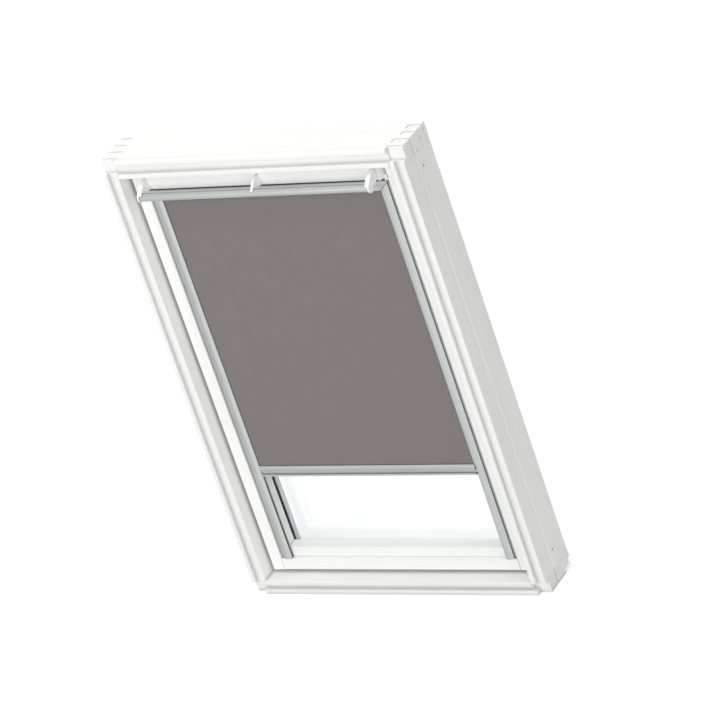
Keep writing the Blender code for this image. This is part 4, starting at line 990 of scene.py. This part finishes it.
@dataclass
class RollerBlind(SubAssembly):
    """The blind's casing and channels, its bottom bar, and its cloth."""

    channel_slots: Tuple[Pair, ...] = ((0.2641, 0.2651), (0.2613, 0.2620))
    channel_slot_floor: float = -0.0030
    clear_front: float = 0.001
    clear_ends: float = 0.01
    tube_radius: float = 0.0055
    wound_radius: float = 0.0075
    wound_turns: float = 5.19
    wound_share: float = 0.75  # drawn thinner, so that the coils stay apart
    wound_grid: Tuple[int, int] = (24, 240)
    cloth_thickness: float = 0.0004
    cloth_grid: Tuple[int, int] = (96, 120)
    ripple_height: float = 0.00022
    ripple_across: Pair = (9.0, 1.3)  # radians over the cloth's width, and those at its edge
    ripple_down: Pair = (5.0, 0.4)  # the same over its length
    bar_bite: float = 0.003
    blend_above: float = 0.056
    blend_below: float = 0.035

    def __post_init__(self) -> None:
        """List the extruded pieces on the sash."""
        self.members = [
            Member("blind_casing", "alu_level"),
            Member("casing_corner_left", "alu_level"),
            Member("casing_corner_right", "alu_level"),
            Member("side_channel_left", "alu_upright"),
            Member("side_channel_right", "alu_upright"),
        ]

    def shape(self, piece: bpy.types.Object, member: Member) -> None:
        """Cut the two fine grooves that set the left channel's outer rib off from the stile.

        Args:
            piece: The member's piece.
            member: The member.
        """
        if member.node != "side_channel_left":
            return
        low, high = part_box(member.node)
        for start, end in self.channel_slots:
            Bench.carve(piece, (-end, low[1] - self.clear_front, low[2] - self.clear_ends),
                        (-start, self.channel_slot_floor, high[2] + self.clear_ends))

    def thicken(self, cloth: bpy.types.Object, share: float) -> None:
        """Give a cloth its thickness and shade it smooth.

        Args:
            cloth: The cloth, as one thin sheet.
            share: The share of the cloth's thickness to give it.
        """
        thick = cloth.modifiers.new("cloth thickness", "SOLIDIFY")
        thick.thickness = share * self.cloth_thickness
        thick.offset = 0.0
        Bench.apply(cloth)
        Bench.smooth(cloth, Bench.BOWED_ANGLES[0])

    def build_wound_cloth(self) -> None:
        """Wind the spare cloth round the tube, from where the hanging cloth leaves it."""
        low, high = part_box("wound_cloth")
        axis = middle_of(*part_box("roller_tube"))
        inner = self.tube_radius + self.cloth_thickness
        width = high[0] - low[0]
        cloth = Bench.add(bpy.ops.mesh.primitive_grid_add, "wound_cloth_coiled",
                          x_subdivisions=self.wound_grid[0],
                          y_subdivisions=self.wound_grid[1], size=1.0)
        for vertex in cloth.data.vertices:
            along = vertex.co.y + 0.5
            angle = math.pi + 2 * math.pi * self.wound_turns * along
            radius = self.wound_radius - (self.wound_radius - inner) * along
            vertex.co = (vertex.co.x * width, axis[1] + radius * math.cos(angle),
                         axis[2] - radius * math.sin(angle))
        self.thicken(cloth, self.wound_share)
        self.palette.dress(cloth, "roller", "wound", ["wound_cloth"])

    def build_cloth(self) -> None:
        """Hang the cloth: a fine grid with the slight ripples of a cloth under light tension."""
        low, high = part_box("blind_cloth")
        foot = low[2] - self.bar_bite
        width = high[0] - low[0]
        length = high[2] - foot
        middle = middle_of((low[0], low[1], foot), high)
        cloth = Bench.add(bpy.ops.mesh.primitive_grid_add, "blind_cloth_woven",
                          (width, length, 1.0), x_subdivisions=self.cloth_grid[0],
                          y_subdivisions=self.cloth_grid[1], size=1.0, location=middle,
                          rotation=(math.pi / 2, 0.0, 0.0))
        (wide, at_left), (long, at_top) = self.ripple_across, self.ripple_down
        for vertex in cloth.data.vertices:
            across = (vertex.co.x - low[0]) / width
            down = (high[2] - vertex.co.z) / length
            held = math.sin(math.pi * across) * math.sin(math.pi * min(1.0, down)) ** 0.5
            ripple = math.sin(wide * across + at_left) * math.sin(long * down + at_top)
            vertex.co.y += self.ripple_height * held * ripple
        self.thicken(cloth, 1.0)
        self.palette.dress(cloth, None, "cloth", ["blind_cloth"])
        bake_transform(cloth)

    def build(self) -> None:
        """Finish the extrusions, hang and wind the cloth, and coat what is inside."""
        self.finish_members()
        self.build_cloth()
        bar = SubAssembly(self.palette, "bottom_bar", [Member("blind_bottom_bar", "alu_level")])
        bar.finish_members()
        self.palette.coat("rubber", "bar_slider_left", "bar_slider_right")
        self.build_wound_cloth()
        self.palette.coat("alu_level", "roller_tube")
        self.palette.coat("plastic", "tube_plug_left", "tube_plug_right")
        self.palette.coat("zinc", "roller_pin", "spring_shaft", "return_spring")


@dataclass
class Ironmongery(SubAssembly):
    """Pivots, latch and striker in plated steel, and the moulded pieces at the rail's ends."""

    block_low: Place = (0.2578, -0.0072, 0.8993)
    block_high: Place = (0.2648, 0.0060, 0.9112)
    block_edge: float = 0.0007
    cheek_front_share: float = 0.12
    cheek_back_share: float = 1.75
    cheek_edge: float = 0.0002

    def build_cheeks(self) -> None:
        """Shape the flap's two end cheeks: wedges that thin out towards the arm's front edge."""
        for word, side in SIDES:
            piece = Bench.copy_of(f"flap_cheek_{word}", f"flap_cheek_{word}_moulded")
            low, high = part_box(f"flap_cheek_{word}")
            foot = low[0] if side > 0 else high[0]
            for vertex in piece.data.vertices:
                back = (vertex.co.y - low[1]) / (high[1] - low[1])
                share = (self.cheek_front_share
                         + (self.cheek_back_share - self.cheek_front_share) * back)
                vertex.co.x = foot + (vertex.co.x - foot) * share
            Bench.soften(piece, self.cheek_edge)
            self.palette.dress(piece, self.body, "plastic", [f"flap_cheek_{word}"])

    def build_end_blocks(self) -> None:
        """Seat the small moulded blocks that close the rail over the casing's two corners."""
        for word, side in SIDES:
            block = Bench.block(f"rail_end_block_{word}",
                                *on_side(side, self.block_low, self.block_high))
            Bench.soften(block, self.block_edge, 3)
            self.palette.dress(block, self.body, "plastic")

    def build(self) -> None:
        """Coat the plated pieces, then shape the cheeks and the end blocks."""
        self.palette.coat("zinc", "frame_hinge_plate_left", "frame_hinge_plate_right",
                          "sash_hinge_plate_left", "sash_hinge_plate_right", "pivot_pin_left",
                          "pivot_pin_right", "striker_plate", "lock_case", "latch_tongue",
                          "flap_hinge_rod")
        self.build_cheeks()
        self.build_end_blocks()


@dataclass
class Screws(SubAssembly):
    """Cross-recessed screws, one pattern driven wherever a plate or cover is held."""

    head_radius: float = 0.0032
    head_height: float = 0.0014
    head_edge: float = 0.0004
    recess_width: float = 0.0009
    recess_length: float = 0.0040
    recess_depth: float = 0.0008
    sink: float = 0.0001
    cover_heights: Tuple[float, ...] = (0.070, 0.345, 0.630, 0.905)
    plate_heights: Tuple[float, ...] = (0.448, 0.524)
    striker_widths: Tuple[float, ...] = (-0.027, 0.027)

    def pattern(self) -> bpy.types.Object:
        """Turn one screw head that looks up from the origin and cut its cross.

        Returns:
            The screw.
        """
        screw = Bench.add(bpy.ops.mesh.primitive_cylinder_add, "screw", vertices=24,
                          radius=self.head_radius, depth=self.head_height,
                          location=(0.0, 0.0, self.head_height / 2))
        Bench.soften(screw, self.head_edge)
        wide, long = self.recess_width / 2, self.recess_length / 2
        floor = self.head_height - self.recess_depth
        for x, y in ((wide, long), (long, wide)):
            Bench.carve(screw, (-x, -y, floor), (x, y, 2 * self.head_height))
        return screw

    def drive(self, name: str, towards: Place, places: Sequence[Place]) -> None:
        """Drive screws at a row of places.

        Args:
            name: The joined piece's name.
            towards: The way the heads look.
            places: Where each head is seated.
        """
        turn = Vector(towards).to_track_quat("Z", "Y").to_matrix().to_4x4()
        moves = [Matrix.Translation(place) @ turn for place in places]
        screws = Bench.copies(self.pattern(), name, moves)
        self.palette.dress(screws, self.body, "zinc")

    def build(self) -> None:
        """Screw down the covers, the hinge plates and, on the frame, the striker."""
        for word, side in SIDES:
            low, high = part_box(f"{self.body}_cover_{word}")
            middle = middle_of(low, high)
            self.drive(f"{self.body}_cover_screws_{word}", (0.0, 1.0, 0.0),
                       [(middle[0], high[1] - self.sink, z) for z in self.cover_heights])
            low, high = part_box(f"{self.body}_hinge_plate_{word}")
            out = -side if self.body == "frame" else side
            face = low[0] if out < 0 else high[0]
            middle = middle_of(low, high)
            self.drive(f"{self.body}_hinge_screws_{word}", (float(out), 0.0, 0.0),
                       [(face - out * self.sink, middle[1], z) for z in self.plate_heights])
        if self.body == "frame":
            low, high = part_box("striker_plate")
            middle = middle_of(low, high)
            self.drive("striker_screws", (0.0, 0.0, -1.0),
                       [(x, middle[1], low[2] + self.sink) for x in self.striker_widths])


@dataclass(frozen=True)
class Softbox:
    """A wide lamp far away, given by the way to it."""

    name: str
    towards: Place
    strength: float
    spread: float

    def build(self) -> None:
        """Hang the lamp."""
        lamp = bpy.data.lights.new(self.name, "SUN")
        lamp.energy = self.strength
        lamp.angle = math.radians(self.spread)
        holder = linked(self.name, lamp)
        holder.rotation_euler = Vector(self.towards).to_track_quat("Z", "Y").to_euler()


@dataclass(frozen=True)
class Studio:
    """A white studio: floor, soft lamps, white surroundings and the photograph's camera."""

    ambient: float = 0.26
    floor_size: float = 80.0
    floor_height: float = -0.0005
    floor_colour: str = "C0C0C0"
    floor_roughness: float = 0.9
    floor_specular: float = 0.1
    floor_glow: float = 0.60
    eye: Place = (5.2145, -7.1083, 4.9211)
    ahead: Place = (-0.52409, 0.72368, -0.44903)
    above: Place = (0.01811, 0.53659, 0.84365)
    focal_pixels: float = 5234.16
    picture_pixels: float = 720.0
    sensor: float = 36.0
    sight_end: float = 200.0
    near_place: Place = (-0.1, -1.5, 1.2)
    near_aim: Place = (0.0, 0.03, 0.5)
    near_size: float = 0.8
    near_power: float = 3.8
    lamps: Tuple[Softbox, ...] = (
        Softbox("key softbox", (0.12, -0.93, 0.33), 0.96, 45.0),
        Softbox("right softbox", (0.80, -0.60, 0.20), 0.94, 50.0),
        Softbox("top softbox", (0.00, 0.05, 1.00), 1.28, 20.0),
        Softbox("high softbox", (0.10, -0.55, 0.85), 0.30, 15.0),
        Softbox("back softbox", (-0.40, 0.85, 0.35), 0.50, 50.0),
    )

    def looked_at(self, owner: bpy.types.ID) -> bpy.types.NodeSocket:
        """Tell the rays that look at a surface or backdrop from those that only light.

        Args:
            owner: The material or world to add to.

        Returns:
            One for camera, transmission and glossy rays, and zero for the others.
        """
        path = add_node(owner, "ShaderNodeLightPath")
        direct = add_node(owner, "ShaderNodeMath", {"operation": "MAXIMUM"}, {
            0: path.outputs["Is Camera Ray"], 1: path.outputs["Is Transmission Ray"]})
        either = add_node(owner, "ShaderNodeMath", {"operation": "MAXIMUM"}, {
            0: direct.outputs[0], 1: path.outputs["Is Glossy Ray"]})
        return either.outputs[0]

    def build_floor(self) -> None:
        """Lay a white floor that still shows a soft shadow."""
        floor = Bench.add(bpy.ops.mesh.primitive_plane_add, "studio_floor",
                          size=self.floor_size, location=(0.0, 0.0, self.floor_height))
        paper = Surface("white studio paper", self.floor_colour, self.floor_roughness)
        paper.set_all_over({"Specular IOR Level": self.floor_specular, "Emission Color": WHITE})
        shown = add_node(paper.material, "ShaderNodeMath",
                         {"operation": "MULTIPLY", 1: self.floor_glow},
                         {0: self.looked_at(paper.material)})
        paper.feed("Emission Strength", shown.outputs[0])
        floor.data.materials.append(paper.material)

    def build_surroundings(self) -> None:
        """Make the surroundings white to look at and softer as light."""
        world = bpy.data.worlds.new("white studio")
        world.use_nodes = True
        bpy.context.scene.world = world
        back = world.node_tree.nodes["Background"]
        back.inputs["Color"].default_value = WHITE
        level = add_node(world, "ShaderNodeMapRange", {"To Min": self.ambient, "To Max": 1.0},
                         {"Value": self.looked_at(world)})
        world.node_tree.links.new(level.outputs["Result"], back.inputs["Strength"])

    def build_camera(self) -> None:
        """Stand the camera where the photograph was taken."""
        data = bpy.data.cameras.new("photograph")
        data.sensor_width = self.sensor
        data.lens = self.focal_pixels * self.sensor / self.picture_pixels
        data.clip_end = self.sight_end
        holder = linked("photograph", data)
        back = -Vector(self.ahead).normalized()
        side = Vector(self.above).cross(back).normalized()
        top = back.cross(side)
        turn = Matrix((side, top, back)).transposed()
        holder.matrix_world = Matrix.Translation(self.eye) @ turn.to_4x4()
        bpy.context.scene.camera = holder

    def build_near_softbox(self) -> None:
        """Stand a small softbox close in front, which lights the middle more than the ends."""
        lamp = bpy.data.lights.new("near softbox", "AREA")
        lamp.shape = "SQUARE"
        lamp.size = self.near_size
        lamp.energy = self.near_power
        holder = linked("near softbox", lamp)
        holder.location = self.near_place
        back = Vector(self.near_place) - Vector(self.near_aim)
        holder.rotation_euler = back.to_track_quat("Z", "Y").to_euler()

    def build(self) -> None:
        """Set up floor, surroundings, lamps and camera."""
        self.build_camera()
        self.build_floor()
        self.build_surroundings()
        self.build_near_softbox()
        for lamp in self.lamps:
            lamp.build()
        bpy.context.scene.view_settings.view_transform = "Standard"


def main() -> None:
    """Build the studio, then the window from its frame inwards."""
    logging.basicConfig(level=logging.INFO, format="%(message)s")
    Studio().build()
    palette = Palette()
    TimberFrame(palette, "frame").build()
    OuterCovers(palette, "frame").build()
    TimberSash(palette, "sash").build()
    OuterCovers(palette, "sash").build()
    Ironmongery(palette, "sash").build()
    Screws(palette, "frame").build()
    Screws(palette, "sash").build()
    ControlSet(palette, "flap").build()
    RollerBlind(palette, "sash").build()


if __name__ == "__main__":
    main()
